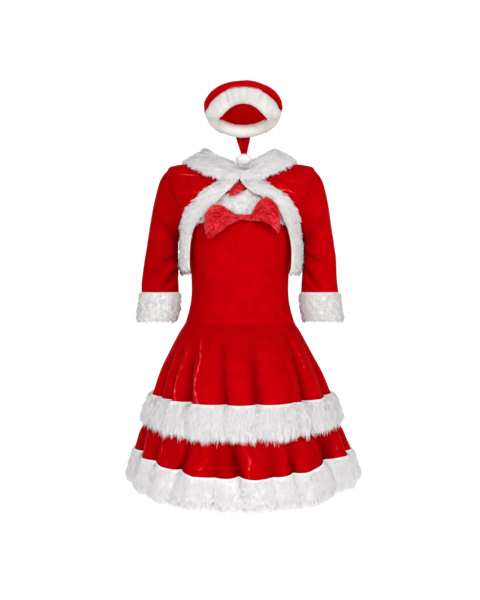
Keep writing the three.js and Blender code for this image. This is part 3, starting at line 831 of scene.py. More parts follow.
def velvet(node, points, flat, held, area, wall=VELVET_WALL, part=None, **shape):
    """A piece of velvet in place of one of the frame's solids, named after it or as a part."""
    piece = cloth(f"velvet_{part or node}", points, wall, VELVET, node, "velvet", **shape)


def panel(node, surface, downs, start, end, count, sides, flat, held, area=None, cut=None,
          painted_shade_level=NO_PAINTED_LIGHT, part=None):
    """A panel of velvet over part of a surface, rolled in along its sewn sides. Its painted shade
    level holds where it is flat, and a cut with folds adds painted shade and highlight in them."""
    down, turn = grid(downs, np.linspace(start + SEAM_TURN, end - SEAM_TURN, count))
    points = surface(down, turn)
    points = sew_in(points, normals(points), sides)
    nap = painted_shade_level if cut is None else painted_shade_level + painted_fold_light(cut, down, turn)
    velvet(node, points, flat, held, area, part=part, nap=nap)


BODICE_ROWS = np.linspace(0, 1, 28)
SEWN = ["left", "right", "bottom"]
# Painted shade: the left of the bodice front and the left side front are painted darker, where less
# light falls.
painted_shade_left = 0.09 * ease(np.linspace(PRINCESS_TURN, -PRINCESS_TURN, 56), 25, 50)
panel("bodice_front", bodice, BODICE_ROWS, -PRINCESS_TURN, PRINCESS_TURN, 56, SEWN, (0.21, 0.30),
      "stretched", painted_shade_level=NO_PAINTED_LIGHT - painted_shade_left)
panel("bodice_side_front_right", bodice, BODICE_ROWS, PRINCESS_TURN, 90, 26, SEWN, (0.075, 0.28),
      "stretched")
panel("bodice_side_front_left", bodice, BODICE_ROWS, -90, -PRINCESS_TURN, 26, SEWN, (0.075, 0.28),
      "stretched", painted_shade_level=0.41)
panel("bodice_back", bodice, BODICE_ROWS, 90, 270, 64, SEWN, (0.36, 0.26), "stretched")

# %% [markdown]
# Each tier is a strip much longer than the seam it hangs from. It is drawn up along its top, and
# the fullness falls in folds of its own weight. Painted shade follows the folds, darker in every
# hollow, and the lower tier is painted darker than the upper one, as in the shadow of the fur
# above it.

# %% Skirt tiers
HALVES = {"front": (-90, 90), "back": (90, 270)}
UPPER_ROWS = np.concatenate(
    [np.linspace(DROP_WAIST - HALF_WAIST_GAP, -406, 8), np.linspace(-410, UPPER_HEM, 34)])
LOWER_ROWS = np.linspace(FLOUNCE["z"][0], FLOUNCE_HEM, 24)
# Painted shade: upper tier 0.45, a little darker than the bodice; the flounce darker, 0.33.
for half, (start, end) in HALVES.items():
    panel(f"skirt_upper_{half}", dress, UPPER_ROWS, start, end, 190, ["top", "left", "right"],
          (0.72, 0.25), "hung", 0.155, UPPER, 0.45)
    panel(f"skirt_flounce_{half}", flounce, LOWER_ROWS, start, end, 200, ["left", "right"],
          (0.88, 0.15), "gathered", None, LOWER, 0.33, f"flounce_{half}")

# %% [markdown]
# The fur bands lie on the lower part of each tier and hang past its edge. The base follows the
# cloth's own folds, so the creases of the skirt run on through the fur, and its section is thin
# where it starts, fullest low down, and rounds back under the hem.

# %% Skirt fur
MID_FUR = table(
    "z reach", (-569, 1), (-577, 4), (-592, 6), (-607, 8), (-619, 9), (-628, 7), (-633, 3)
)
HEM_FUR = table(
    "z reach", (-717, 1), (-727, 3.5), (-739, 6), (-755, 10), (-767, 12), (-774, 9), (-778, 3)
)
LIFT = 1.4
NEARER_SEAM = 0.08
FRINGE = {"rise": 0.25, "fall": 1.0, "gravity": 0.6, "sway": 0.3, "clump": 10, "pull": 1.0}


def fur_piece(name, node, outer, inner, piles, fur=WHITE_FUR, around=False):
    """A plump base between two grids, and its piles. Each pile is given as its name, the grid it
    grows on, how many hairs, how long, a seed, and the way they stand."""
    hairs, under = fur
    base = slab(f"{name}_base", outer, inner, under, node, around)
    tops = [pile(f"{name}_{part}", points, count, length, seed, hairs, around=around, **stand)
            for part, points, count, length, seed, stand in piles]


def band_surface(cut, surface, rows, turns, follow, climb, lift):
    """The cloth under a fur band, and below the hem a straight fall from it, with the way out and
    how much the fur evens out: it fills hollows and lies lower on ridges. The band's top edge drops
    by `follow` times each fold's height, and climbs towards the sides as its low edge lifts."""
    share, turn = grid(np.linspace(0, 1, 16), turns)
    first, last, hem = rows["z"][0], rows["z"][-1], cut["end"]
    side = np.sin(np.radians(turn))
    top = first - follow * fold_out(FLOUNCE_FOLDS, turn, 0.6)
    top = top + climb * ease(np.abs(side), 0.2, 0.95) * np.where(side < 0, 0.74, 0.72)
    low = last + lift * ease(np.abs(side), 0.4, 1)
    z = top + (low - top) * share
    above = np.maximum(z, hem)
    points = surface(above, turn)
    over_hem = surface(*grid([hem + 1, hem], turns))
    out = np.where((z < hem)[..., None], normals(over_hem)[-1][None], normals(points))
    points[..., 2] += z - above
    height = fold_out(cut["folds"], turn, ease(-above, *cut["under_fur"]))
    even = 0.55 * np.minimum(9, np.maximum(0, -height)) - 0.32 * np.maximum(0, height)
    return points, unit(out), first + (last - first) * share, even


def fur_band(name, cut, surface, rows, flat, hairs, seeds, length, fringe, follow=0.0, climb=0.0,
             lift=0.0, **stand):
    """Both halves of a band: plump bases that rest on the cloth, and their piles. A fringe of
    longer hairs hangs from the low edge."""
    for (half, (start, end)), count, seed in zip(HALVES.items(), hairs, seeds):
        turns = np.linspace(start + SEAM_TURN - NEARER_SEAM, end - SEAM_TURN + NEARER_SEAM, 180)
        points, out, z, even = band_surface(cut, surface, rows, turns, follow, climb, lift)
        u, v = along(points)
        lumps = waves(u, 0.5 * v, 26, seed) * 0.09 + waves(u, 0.8 * v, 11, seed + 1) * 0.05
        lumps = lumps * ease(u, 0, 25) * ease(u[:, -1:] - u, 0, 25)
        reach = read(rows, "z", z, "reach")
        reach = reach * (1 + lumps) + even * ease(reach, 1, 5)
        outer = points + out * (LIFT + reach)[..., None]
        fur_piece(f"{name}_{half}", f"skirt_{name}_{half}", outer, points + out * LIFT, [
            ("pile", outer, count, length, seed + 2, stand),
            ("fringe", outer[-5:-1], count // 5, fringe, seed + 3, {**stand, **FRINGE}),
        ])


fur_band("fur_mid", UPPER, dress, MID_FUR, (0.70, 0.078), (14500, 7500), (11, 12), 20, 27, lift=7,
         rise=0.36, fall=1.0, sway=0.16, gravity=0.4, clump=8, pull=0.45, width=0.95)
fur_band("fur_hem", LOWER, flounce, HEM_FUR, (0.86, 0.083), (15500, 8500), (21, 22), 15, 17,
         follow=0.12, climb=19, rise=0.5, fall=0.9, sway=0.25, gravity=0.15, clump=9, pull=0.4,
         width=1.0)

# %% [markdown]
# The strip along the top of the bodice is a denser fur, cut narrow. Its hairs are short, and its
# colour is painted a little darker, as painted shade. The bow and the bolero hide most of it.

# %% Bust fur
def bust_fur():
    """A strip over the bodice's top edge, which rises to a soft point beside the bow."""
    share, turn = grid(np.linspace(0, 1, 16), np.linspace(-64, 64, 90))
    peak = 0.010 + 0.052 * bell(turn - 15, 10)
    points = bodice(0.16 * share - peak * (1 - share), turn)
    out = normals(points)
    reach = 2 + 6 * np.sin(math.pi * (0.06 + 0.88 * going_down(0, 1, 16))) ** 0.7
    outer = points + out * (LIFT + reach * (1 + 0.1 * waves(*along(points), 16, 31)))[..., None]
    stand = {"rise": 0.8, "fall": 0.5, "clump": 7, "width": 1.1}
    fur_piece("fur_bust", "bust_fur", outer, points + out * LIFT,
              [("pile", outer, 2600, 9, 32, stand)], DENSE_SHADED_FUR)


bust_fur()

# %% [markdown]
# The bow is one wide satin ribbon. Each wing leaves the knot gathered, spreads, folds over at its
# tip and comes back behind, and the knot is the same ribbon pulled tight across. Satin creases
# sharply where it is gathered, so ridges fan out from the knot and die away towards the tip.

# %% Bow
BOW_LEFT = table(
    "x top bottom y gap",
    (-4, -142, -155, -121, 2),
    (-15, -137.5, -160, -123, 3),
    (-29, -127.5, -168, -126, 5),
    (-43, -120, -179, -128, 6),
    (-54, -118, -187, -128.5, 6),
    (-64, -122, -194, -127, 6),
    (-72, -129, -197, -125, 5),
    (-79, -137, -186, -122, 4),
    (-83, -144, -168, -119, 2),
)
BOW_RIGHT = table(
    "x top bottom y gap",
    (22, -143, -155, -121, 2),
    (29, -136, -155, -123, 3),
    (36, -121, -156, -126, 5),
    (46, -108, -157, -128, 6),
    (58, -102.5, -159, -127, 6),
    (70, -105, -165, -124, 6),
    (80, -113, -174, -120, 5),
    (89, -125, -183, -116, 4),
    (94, -137, -172, -112, 2),
)
SATIN_WALL = 0.9


def satin(part, node, points, around=False):
    """A piece of satin in place of one of the frame's solids."""
    piece = cloth(f"satin_{part}", points, SATIN_WALL, SATIN, node, "satin", around)


def bow_wing(side, rows, seed):
    """A ribbon out to the tip and back. Across it, ridges fan from the knot; along it, they fade.
    Depth = sum of sines of the share across, plus crumples that grow away from the knot."""
    first, last = rows["x"][0], rows["x"][-1]
    there = first + (last - first) * np.sin(np.linspace(0, 1, 44) * math.pi / 2) ** 0.8
    path = np.concatenate([there, there[::-1]])[:, None]
    layer = np.repeat([-1.0, 1.0], 44)[:, None]
    top, bottom, y, gap = (read(rows, "x", path, name) for name in ("top", "bottom", "y", "gap"))
    share = going_across(0, 1, 40)
    rng = np.random.default_rng(seed)
    far = np.abs(path - first) / abs(last - first)
    fan = sum(
        size * np.abs(np.sin(math.pi * (count * share + phase + 0.25 * far)))
        for count, size, phase in zip((2, 4, 7), (4.0, 2.0, 0.6), rng.random(3))
    )
    width = (top - bottom) * share
    crumple = 7.5 * (0.5 - np.abs(waves(0.5 * path, width, 22, seed, 7)))
    crumple = crumple + 1.2 * (0.5 - np.abs(waves(0.5 * path, width, 9, seed + 1)))
    depth = fan * (0.25 + 0.75 * np.sin(math.pi * np.minimum(far, 0.8) / 1.1)) * 0.8
    depth = depth + crumple * ease(far, 0, 0.5)
    depth *= np.where(layer < 0, 1, 0.35) * (1 - 0.8 * ease(far, 0.86, 1.0))
    z = top + (bottom - top) * share
    z = z + 1.2 * waves(path, layer, 14, seed + 2) * ease(far, 0.1, 0.4) * (1 - 2 * share)
    bulge = gap * np.sin(math.pi * (0.08 + 0.84 * share)) ** 0.5
    points = xyz(path, y + layer * bulge - depth, z)
    satin(f"bow_{side}", f"bow_{side}", points if side == "left" else points[:, ::-1])


def bow_knot():
    """A gathered tube across the middle: a flat oval section with pleats, flared at its ends."""
    share = going_down(0, 1, 30)
    angle = np.radians(going_across(0, 360, 48, True))
    flare = 1 + 0.25 * (2 * share - 1) ** 2
    pleat = 1 + 0.13 * np.cos(7 * angle + 3 * share) + 0.08 * np.cos(12 * angle - 5 * share)
    y = -123.5 - 4.6 * np.cos(angle) * flare * pleat
    z = -148.5 + 1.5 * np.sin(3 * share) + 5.4 * np.sin(angle) * flare * pleat
    satin("bow_knot", "bow_center", xyz(-8 + 33 * share, y, z), around=True)


bow_wing("left", BOW_LEFT, 41)
bow_wing("right", BOW_RIGHT, 44)
bow_knot()

# %% [markdown]
# The bolero closes at the throat with a satin ribbon. Most of it is hidden in the collar's fur,
# and one end hangs out.

# %% Throat tie
def throat_tie():
    """The end of a satin ribbon: a small leaf, folded lengthwise, that hangs out of the throat."""
    rows = table(
        "z left right y",
        (-50, -1.5, 1.5, -83),
        (-57, -4, 4.5, -89),
        (-64, -9.5, 9, -95),
        (-71, -14.5, 12, -101),
        (-79, -18.5, 9, -108),
        (-86, -23, 3.5, -113),
        (-92, -25, -9, -117),
        (-97, -24, -19, -119),
    )
    z = going_down(-50, -97, 34)
    share = going_across(0, 1, 18)
    left, right, y = (read(rows, "z", z, name) for name in ("left", "right", "y"))
    fold = 2.4 * np.abs(share - 0.42) ** 0.8 * ease(-z, 50, 66) * 2
    fold = fold + 0.8 * np.sin(9 * share + z / 5)
    points = xyz(left + (right - left) * share, y + fold - 1.5, z)
    satin("throat_tie", "throat_tie", points)


throat_tie()

# %% [markdown]
# The bolero is cut like a cape: rings run from the neck over the shoulders and down to the hem,
# lower in front and behind than at the sides. The armholes are left out of those rings, and each
# sleeve starts on the same loop, so that the two meet all the way round. The front edges are cut
# on a curve, so the fur that lies on them is given as an inner and an outer line. On the fronts a
# few short lines of painted sheen run towards the armholes.

# %% Bolero
BOLERO = table(
    "row half front back zSide zFront zBack",
    (0, 82, 74, 70, 3, -42, -14),
    (1, 124, 90, 84, -3, -57, -29),
    (2, 158, 105, 98, -6, -78, -48),
    (3, 181, 114, 106, -19, -98, -74),
    (4, 177, 118, 110, -75, -124, -108),
    (5, 158, 119, 111, -125, -150, -142),
    (6, 142, 119, 110, -172, -180, -176),
    (7, 140, 117, 108, -225, -225, -225),
    (8, 140, 115, 106, -275, -275, -275),
)
ARMHOLE_ROW, ARMHOLE_ROWS, ARMHOLE_TURN = 4.5, 1.5, 28


def dipped_ring(rows, key, at, turn):
    """A ring that runs from its side height to its front or back height with cos squared."""
    half, front, back, z_side, z_front, z_back = (
        read(rows, key, at, name) for name in ("half", "front", "back", "zSide", "zFront", "zBack"))
    cosine = np.cos(np.radians(turn))
    z = z_side + (np.where(cosine > 0, z_front, z_back) - z_side) * cosine**2
    return ring(half, front, back, turn, z)


def bolero(row, turn):
    """The bolero's outer face."""
    return dipped_ring(BOLERO, "row", row, turn)


def sit(points):
    """The set as it hangs: the right shoulder stands a little further out, and the left sleeve."""
    points = np.array(points)
    x, z = points[..., 0], points[..., 2]
    right = 6 * ease(x, 100, 190) * ease(z, -300, -220)
    left = 3 * ease(-x, 155, 215) * ease(-z, 60, 170) * ease(z, -325, -295)
    points[..., 0] = x + right - left
    return points


def armhole_turn(row):
    """Half the turn that the armhole takes out of a row: an ellipse in row and turn."""
    share = np.clip((row - ARMHOLE_ROW) / ARMHOLE_ROWS, -1, 1)
    return ARMHOLE_TURN * np.sqrt(1 - share**2)


def armhole(rounds):
    """The armhole loop of the right side: row and turn at an angle round the sleeve, which is 0
    at the shoulder, 90 behind, 180 under the arm and 270 in front."""
    angle = np.radians(rounds)
    return ARMHOLE_ROW - ARMHOLE_ROWS * np.cos(angle), 90 + ARMHOLE_TURN * np.sin(angle)


FRONT_EDGES = {
    "right": table(
        "z inner outer",
        (-46, 0.4, 28),
        (-51, 1, 36),
        (-60, 4, 48),
        (-70, 9, 62),
        (-77, 15, 75),
        (-91, 35, 97),
        (-99, 56, 108),
        (-115, 76, 122),
        (-131, 91, 131),
        (-152, 104, 135),
        (-176, 114, 138),
        (-208, 121, 139.5),
        (-240, 122, 140),
        (-262, 121, 140),
        (-275, 118, 138),
    ),
    "left": table(
        "z inner outer",
        (-46, 0.4, 22),
        (-51, 1.5, 31),
        (-60, 8, 44),
        (-77, 21, 70),
        (-92, 36, 91),
        (-113, 58, 112),
        (-131, 79, 127),
        (-152, 98, 134),
        (-176, 111, 136),
        (-208, 118, 136.5),
        (-240, 120, 137),
        (-262, 119, 136),
        (-272, 117, 130),
    ),
}


def edge_turns(side, row, column):
    """The turn where each row of the bolero crosses a line of the front edge, by bisection."""
    rows = FRONT_EDGES[side]
    low, high = np.zeros(len(row)), np.full(len(row), 89.5)
    for _ in range(30):
        middle = (low + high) / 2
        point = bolero(row, middle)
        short = read(rows, "z", point[:, 2], column) > point[:, 0]
        low, high = np.where(short, middle, low), np.where(short, high, middle)
    return (low + high) / 2


def on_side(side, points):
    """A grid made for the right side, as it is, or on the left side with its columns turned round
    so that it still faces out."""
    return points if side == "right" else (points * (-1, 1, 1))[:, ::-1]


def between(first, last, count):
    """Turns from first to last in each row."""
    return first[:, None] + (last - first)[:, None] * np.linspace(0, 1, count)


ARMHOLE_ROWS_AT = armhole(np.linspace(0, 180, 34))[0]
BOLERO_ROWS = np.concatenate([np.linspace(0, 2.9, 30), ARMHOLE_ROWS_AT, np.linspace(6.1, 8, 18)])
PAINTED_CREASE_LINES = table(
    "x0 z0 x1 z1 strength",
    (-150, -38, -98, -43, 0.46),
    (-116, -86, -66, -82, 0.44),
    (-138, -127, -113, -106, 0.45),
    (78, -73, 137, -86, 0.4),
    (112, -90, 138, -120, 0.26),
    (96, -52, 150, -60, 0.22),
)


def hem_at(last):
    """The bolero's rows, the ones below the armhole spread evenly down to another last row."""
    return np.where(BOLERO_ROWS > 6, 6 + (BOLERO_ROWS - 6) * (last - 6) / 2, BOLERO_ROWS)


def painted_crease_sheen(points):
    """The painted light of the bolero's front: a line of painted sheen along each short stroke, by
    a bell of the distance from it, and most in its middle."""
    x, z = points[..., 0], points[..., 2]
    nap = np.full(x.shape, NO_PAINTED_LIGHT)
    for x0, z0, x1, z1, strength in each(PAINTED_CREASE_LINES):
        share = np.clip(((x - x0) * (x1 - x0) + (z - z0) * (z1 - z0))
                        / ((x1 - x0) ** 2 + (z1 - z0) ** 2), 0, 1)
        away = np.hypot(x - x0 - share * (x1 - x0), z - z0 - share * (z1 - z0))
        nap += strength * np.sin(math.pi * (0.15 + 0.7 * share)) * bell(away, 1.9)
    return nap


def bolero_front(side, last_row, darker):
    """One front, from under its edge fur to the armhole."""
    rows = hem_at(last_row)
    inner = edge_turns(side, rows, "inner") + 0.8
    points = bolero(*grid(rows, between(inner, 90 - armhole_turn(rows) - SEAM_TURN, 48)))
    points = sit(on_side(side, points))
    # Painted sheen along the short lines, less the painted shade given for the left front.
    velvet(f"bolero_front_{side}", points, (0.2, 0.33), "draped", 0.034,
           nap=painted_crease_sheen(points) - darker)


def bolero_back():
    """The back, from armhole to armhole."""
    rows = hem_at(7.8)
    first, last = 90 + armhole_turn(rows) + SEAM_TURN, 270 - armhole_turn(rows) - SEAM_TURN
    points = sit(bolero(*grid(rows, between(first, last, 48))))
    velvet("bolero_back", points, (0.42, 0.32), "draped", 0.109)


bolero_front("right", 7.9, 0)
# The left front is painted a shade darker, where less light falls.
bolero_front("left", 7.74, 0.05)
bolero_back()

# %% [markdown]
# A sleeve is a tube that starts on the armhole loop and runs down and out in a few oval sections,
# joined by a smooth curve. Velvet bends stiffly, so where the arm turns in at the elbow it breaks
# into a few short slanting ridges, and the rest stays smooth.

# %% Sleeves
SLEEVE = table(
    "outX outZ inX inZ depth y",
    (199, -45, 147, -184, 57, -2),
    (212, -95, 154, -198, 57, -3),
    (220, -150, 154, -217, 54, -5),
    (227, -200, 154, -240, 51, -8),
    (235, -252, 154, -270, 48, -12),
    (243, -321, 151, -321, 45, -20),
)
SLEEVE_FOLDS = table(
    "down round slant length width depth",
    (4.9, 236, 26, 0.8, 0.14, 4.6),
    (5.25, 228, 30, 0.8, 0.11, -5.4),
    (5.55, 222, 24, 0.8, 0.12, 4.2),
    (4.2, 238, 34, 0.9, 0.16, -3.4),
    (5.0, 130, -26, 0.8, 0.16, 4.0),
    (5.4, 138, -24, 0.8, 0.12, -3.0),
    (2.2, 262, 16, 1.0, 0.28, -1.6),
    (3.3, 300, 20, 1.2, 0.30, 1.4),
    (3.4, 60, -20, 1.1, 0.30, -1.8),
)


def oval(outer, inner, angle):
    """From the outer edge of a section, at an angle of 0, round to its inner edge, at 180."""
    return (outer + inner) / 2 + (outer - inner) / 2 * np.cos(angle)


def smooth_rows(rings, per, before=None):
    """More rows between rings, on a Catmull-Rom curve through each column of points. It sets off
    in line with the points before, where they are given."""
    lead = 2 * rings[:1] - rings[1:2] if before is None else before[None]
    padded = np.concatenate([lead, rings, 2 * rings[-1:] - rings[-2:-1]])
    t = np.linspace(0, 1, per, endpoint=False)[:, None, None]
    parts = [
        0.5 * (2 * start + (end - before) * t + (2 * before - 5 * start + 4 * end - after) * t**2
               + (3 * start - before - 3 * end + after) * t**3)
        for before, start, end, after in zip(padded, padded[1:], padded[2:], padded[3:])
    ]
    return np.concatenate([*parts, rings[-1:]])


JOIN = (1, 0.85, 0.65, 0.45, 0.3, 0.15)


def sleeve(side, shift, painted_shade_level):
    """A tube from the armhole to the cuff. Its first rings face the way the bolero faces, so that
    no edge shows at the shoulder. Its painted light is painted shade in the folds and on the inner
    side, towards the body, and a painted highlight on the fold ridges."""
    rounds = np.linspace(0, 360, 60, endpoint=False)
    angle = np.radians(rounds)
    row, turn = armhole(rounds)
    small = 1e-3
    down = bolero(row + small, turn) - bolero(row - small, turn)
    across = bolero(row, turn + small) - bolero(row, turn - small)
    rings = [bolero(row, turn) + (0.6, 0, 0)]
    rings += [xyz(oval(out_x, in_x, angle), y + depth * np.sin(angle), oval(out_z, in_z, angle))
              for out_x, out_z, in_x, in_z, depth, y in each(SLEEVE)]
    wider = bolero(ARMHOLE_ROW + (row - ARMHOLE_ROW) * 1.35, 90 + (turn - 90) * 1.35)
    points = smooth_rows(np.array(rings), 11, wider)
    step = going_down(0, 6, len(points))
    depth = np.zeros(points.shape[:2])
    for middle, around, slant, length, width, height in each(SLEEVE_FOLDS):
        apart = degrees_apart(rounds[None, :] - around, shift)
        off = (step - middle - apart / 60 * slant / 30) / width
        depth += height * np.exp(-(off**2) - (apart / (42 * length)) ** 2)
    depth *= ease(step, 0.1, 0.8) * (1 - ease(step, 5.85, 6))
    points = points + normals(points, True) * depth[..., None]
    out = normals(points, True)
    share = ease(np.cos(angle), -0.7, 0.1)[:, None]
    for i, part in enumerate(JOIN):
        out[i] = unit(out[i] * (1 - share * part) + unit(np.cross(down, across)) * share * part)
    # Painted shade on the inner side of the sleeve, towards the body.
    inside = bell(rounds - 215, 45)[None, :] * ease(step, 0.8, 2.2)
    nap = painted_shade_level + np.clip(depth / 14, -0.35, 0.2) - 0.12 * inside
    nap = nap if side == "right" else nap[:, ::-1]
    velvet(f"sleeve_{side}", sit(on_side(side, points)), (0.36, 0.29), "hung", 0.072, around=True,
           out=on_side(side, out), nap=nap)


# The left sleeve is painted darker than the right, as painted shade, where less light falls.
sleeve("right", 0, 0.48)
sleeve("left", -9, 0.34)

# %% [markdown]
# The fur along the bolero's front edges runs from the throat round to the hem, and a straight
# strip goes on round the back. Each is thin at its two edges and plump between them.

# %% Bolero fur
BOLERO_LIFT = 1.8


def plump(share):
    """The height of a fur section: 2 mm at its edges, and 7 sin(pi share) ** 0.7 more inside."""
    return 2 + 7 * np.sin(math.pi * share) ** 0.7


def fur_on(name, node, points, reach, flat, count, length, seed, area=None, **stand):
    """A fur strip of a given height on a grid of cloth."""
    out = normals(points)
    u, v = along(points)
    lumps = 1 + 0.10 * waves(u, v, 20, seed) + 0.05 * waves(u, v, 9, seed + 1)
    outer = points + out * (BOLERO_LIFT + reach * lumps)[..., None]
    stand = {"rise": 0.8, "fall": 0.55, "clump": 8, "width": 1.1, **stand}
    fur_piece(name, node, outer, points + out * BOLERO_LIFT,
              [("pile", outer, count, length, seed + 2, stand)])


def edge_fur(side, last_row, seed, area):
    """The strip along one front edge, flatter at its two ends."""
    rows = np.linspace(1.1, last_row, 70)
    turns = between(edge_turns(side, rows, "inner"), edge_turns(side, rows, "outer"), 14)
    points = bolero(*grid(rows, turns))
    down = going_down(0, 1, 70)
    reach = plump(going_across(0, 1, 14)) * np.minimum(1, 0.45 + 4 * down)
    reach = reach * (1 - 0.6 * ease(down, 0.97, 1.0))
    points = sit(on_side(side, points))
    fur_on(f"fur_edge_{side}", f"edge_fur_{side}", points, reach, (0.055, 0.29), 5000, 12, seed,
           area, sway=0.5)


def back_hem_fur():
    """The straight strip round the back."""
    points = sit(bolero(*grid(np.linspace(7.2, 8, 12), np.linspace(90.2, 269.8, 100))))
    reach = plump(going_down(0.02, 0.98, 12)) + np.zeros((12, 100))
    fur_on("fur_back_hem", "back_hem_fur", points, reach, (0.40, 0.046), 4000, 11, 57)


edge_fur("right", 8, 51, 0.014)
edge_fur("left", 7.86, 54, 0.012)
back_hem_fur()

# %% [markdown]
# The collar is one wide piece of fur that stands round the neck and rolls over on to the
# shoulders, with a notch in front where its two ends meet. Longer hairs hang from its rim, and a
# few more lie over the place where the ends meet, so that no gap shows.

# %% Collar
COLLAR = table(
    "out half front back zSide zFront zBack reach",
    (0, 79, 66, 62, 28, -15, 1, 4),
    (0.12, 83, 69, 65, 27.5, -14.5, 0, 9),
    (0.3, 94, 77, 72, 20, -22, -5, 11),
    (0.7, 117, 92, 86, 8, -41, -15, 11),
    (0.9, 129, 98, 92.5, 3, -51.5, -22, 7),
    (1, 136, 101, 95, 0, -57, -25, 3),
)


def collar():
    """Two layers of fur rolled over: the rings of COLLAR, half the reach above and below."""
    out, turn = grid(np.linspace(0, 1, 18), np.linspace(0.15, 359.85, 151))
    cut = 1 - 0.1 * np.maximum(0, 1 - np.minimum(turn, 360 - turn) / 16)
    points = dipped_ring(COLLAR, "out", out * cut, turn)
    notch = degrees_apart(turn, 0) - 5
    side = np.sin(np.radians(turn))
    points[..., 2] -= 23 * bell(notch, 12) * (1 - ease(out, 0.1, 0.75))
    points[..., 2] += 0.8 * side * np.abs(side)
    normal = normals(points)
    u, v = along(points)
    reach = read(COLLAR, "out", out, "reach") / 2
    lumps = 1 + 0.10 * waves(u, v, 30, 61) + 0.04 * waves(u, v, 12, 62)
    upper = points + normal * (reach * lumps)[..., None]
    ends = np.concatenate([upper[-6:, -11:], upper[-6:, :11]], 1)
    lower = points - normal * reach[..., None]
    fur_piece("fur_collar", "collar_fur", upper, lower, [
        ("pile", upper[1:], 10500, 11, 63,
         {"rise": 0.8, "fall": 0.6, "clump": 9, "gravity": 0.1, "width": 1.1}),
        ("rim", upper[-4:], 2400, 12, 65, {"rise": 0.3, "fall": 1, "clump": 7, "width": 1.1}),
        ("join", ends, 900, 15, 67,
         {"rise": 0.35, "fall": 1.2, "sway": 0.5, "gravity": 0.5, "clump": 8, "width": 1.1}),
    ])


collar()

# %% [markdown]
# A cuff is a straight strip of the denser fur, painted a little darker as painted shade, sewn into
# a ring and pulled over the sleeve's end. It is as plump all the way round, and rounds in where it
# is sewn.

# %% Cuffs
CUFF = table(
    "z x half inside",
    (-322, 197, 46, 43),
    (-327, 197, 47.5, 43),
    (-340, 198, 48.5, 43),
    (-362, 200.5, 49, 43),
    (-382, 204, 49, 43),
    (-389, 205, 47, 43),
    (-392, 205, 45, 43),
)


def cuff(side, seed):
    """A fur tube round the end of the sleeve: circles of CUFF, a little flat front to back."""
    z = going_down(-322, -392, 22)
    angle = np.radians(going_across(0, 360, 72, True))
    full = np.sin(math.pi * going_down(0.05, 0.95, 22))
    lumps = 1.1 * waves(angle * 50, z, 24, seed) * full

    def tube(size):
        """A ring of a given half width at every height."""
        x = read(CUFF, "z", z, "x") + size * np.cos(angle)
        return on_side(side, xyz(x, -20 + 0.95 * size * np.sin(angle), z))

    outer = tube(read(CUFF, "z", z, "half") + lumps)
    fur_piece(f"fur_cuff_{side}", f"cuff_{side}", outer, tube(read(CUFF, "z", z, "inside")),
              [("pile", outer, 4600, 9.5, seed + 1,
                               {"rise": 0.7, "fall": 0.6, "clump": 9, "width": 1.1})],
              DENSE_SHADED_FUR, around=True)


cuff("right", 71)
cuff("left", 74)

# %% [markdown]
# The hat is a bag of velvet on a padded roll of plush. It is worn tilted back, so from the front
# the roll is a lens-shaped ring, and the bag runs over the top and down behind, narrow at the end.
# The opening is given as how far the roll's inner side sinks, before and behind, at each distance
# from the middle. The plush is gathered on to the roll in a few deep pinches, unevenly spaced.

# %% Hat
HAT = {"x": 8, "y": -20, "z": 122, "radius": 75.5, "roll": 17.5, "tilt": -22}
CROWN = table(
    "outY outZ inY inZ half x",
    (-109.5, 161.5, 73.5, 88.5, 94.5, 8),
    (-107, 172, 78, 96, 97.5, 8),
    (-84, 182, 81, 101, 95.5, 8),
    (-28, 194, 84, 103, 84, 8),
    (36, 198, 86, 102, 68, 8),
    (88, 186, 86, 98, 51, 8),
    (114, 152, 84, 91, 34, 8),
    (110, 112, 81, 83, 22, 9),
    (98, 80, 80, 78, 17, 9),
    (91, 39, 82, 39, 6.5, 10),
)
OPENING = table(
    "x front back",
    (0, -9.1, -5.6),
    (10, -9.8, -5.6),
    (20, -11.7, -5.6),
    (30, -15.1, -5.9),
    (38, -18.4, -6.0),
    (45, -21.7, -6.1),
    (50, -23.7, -6.6),
    (54, -23.4, -8.5),
    (58, -21, -14.5),
    (66, -15, -15),
)
PINCHES = table(
    "place width depth",
    (-58, 7, 1.6),
    (-43, 5.5, 2.4),
    (-29, 4.2, 7.4),
    (-20, 3.0, 4.8),
    (-7, 3.0, 3.2),
    (9, 3.4, 6.6),
    (17, 2.8, 4.8),
    (32, 4.4, 7.2),
    (46, 5.5, 2.4),
    (60, 7, 1.6),
    (140, 3.0, 1.2),
    (215, 3.0, 1.0),
)


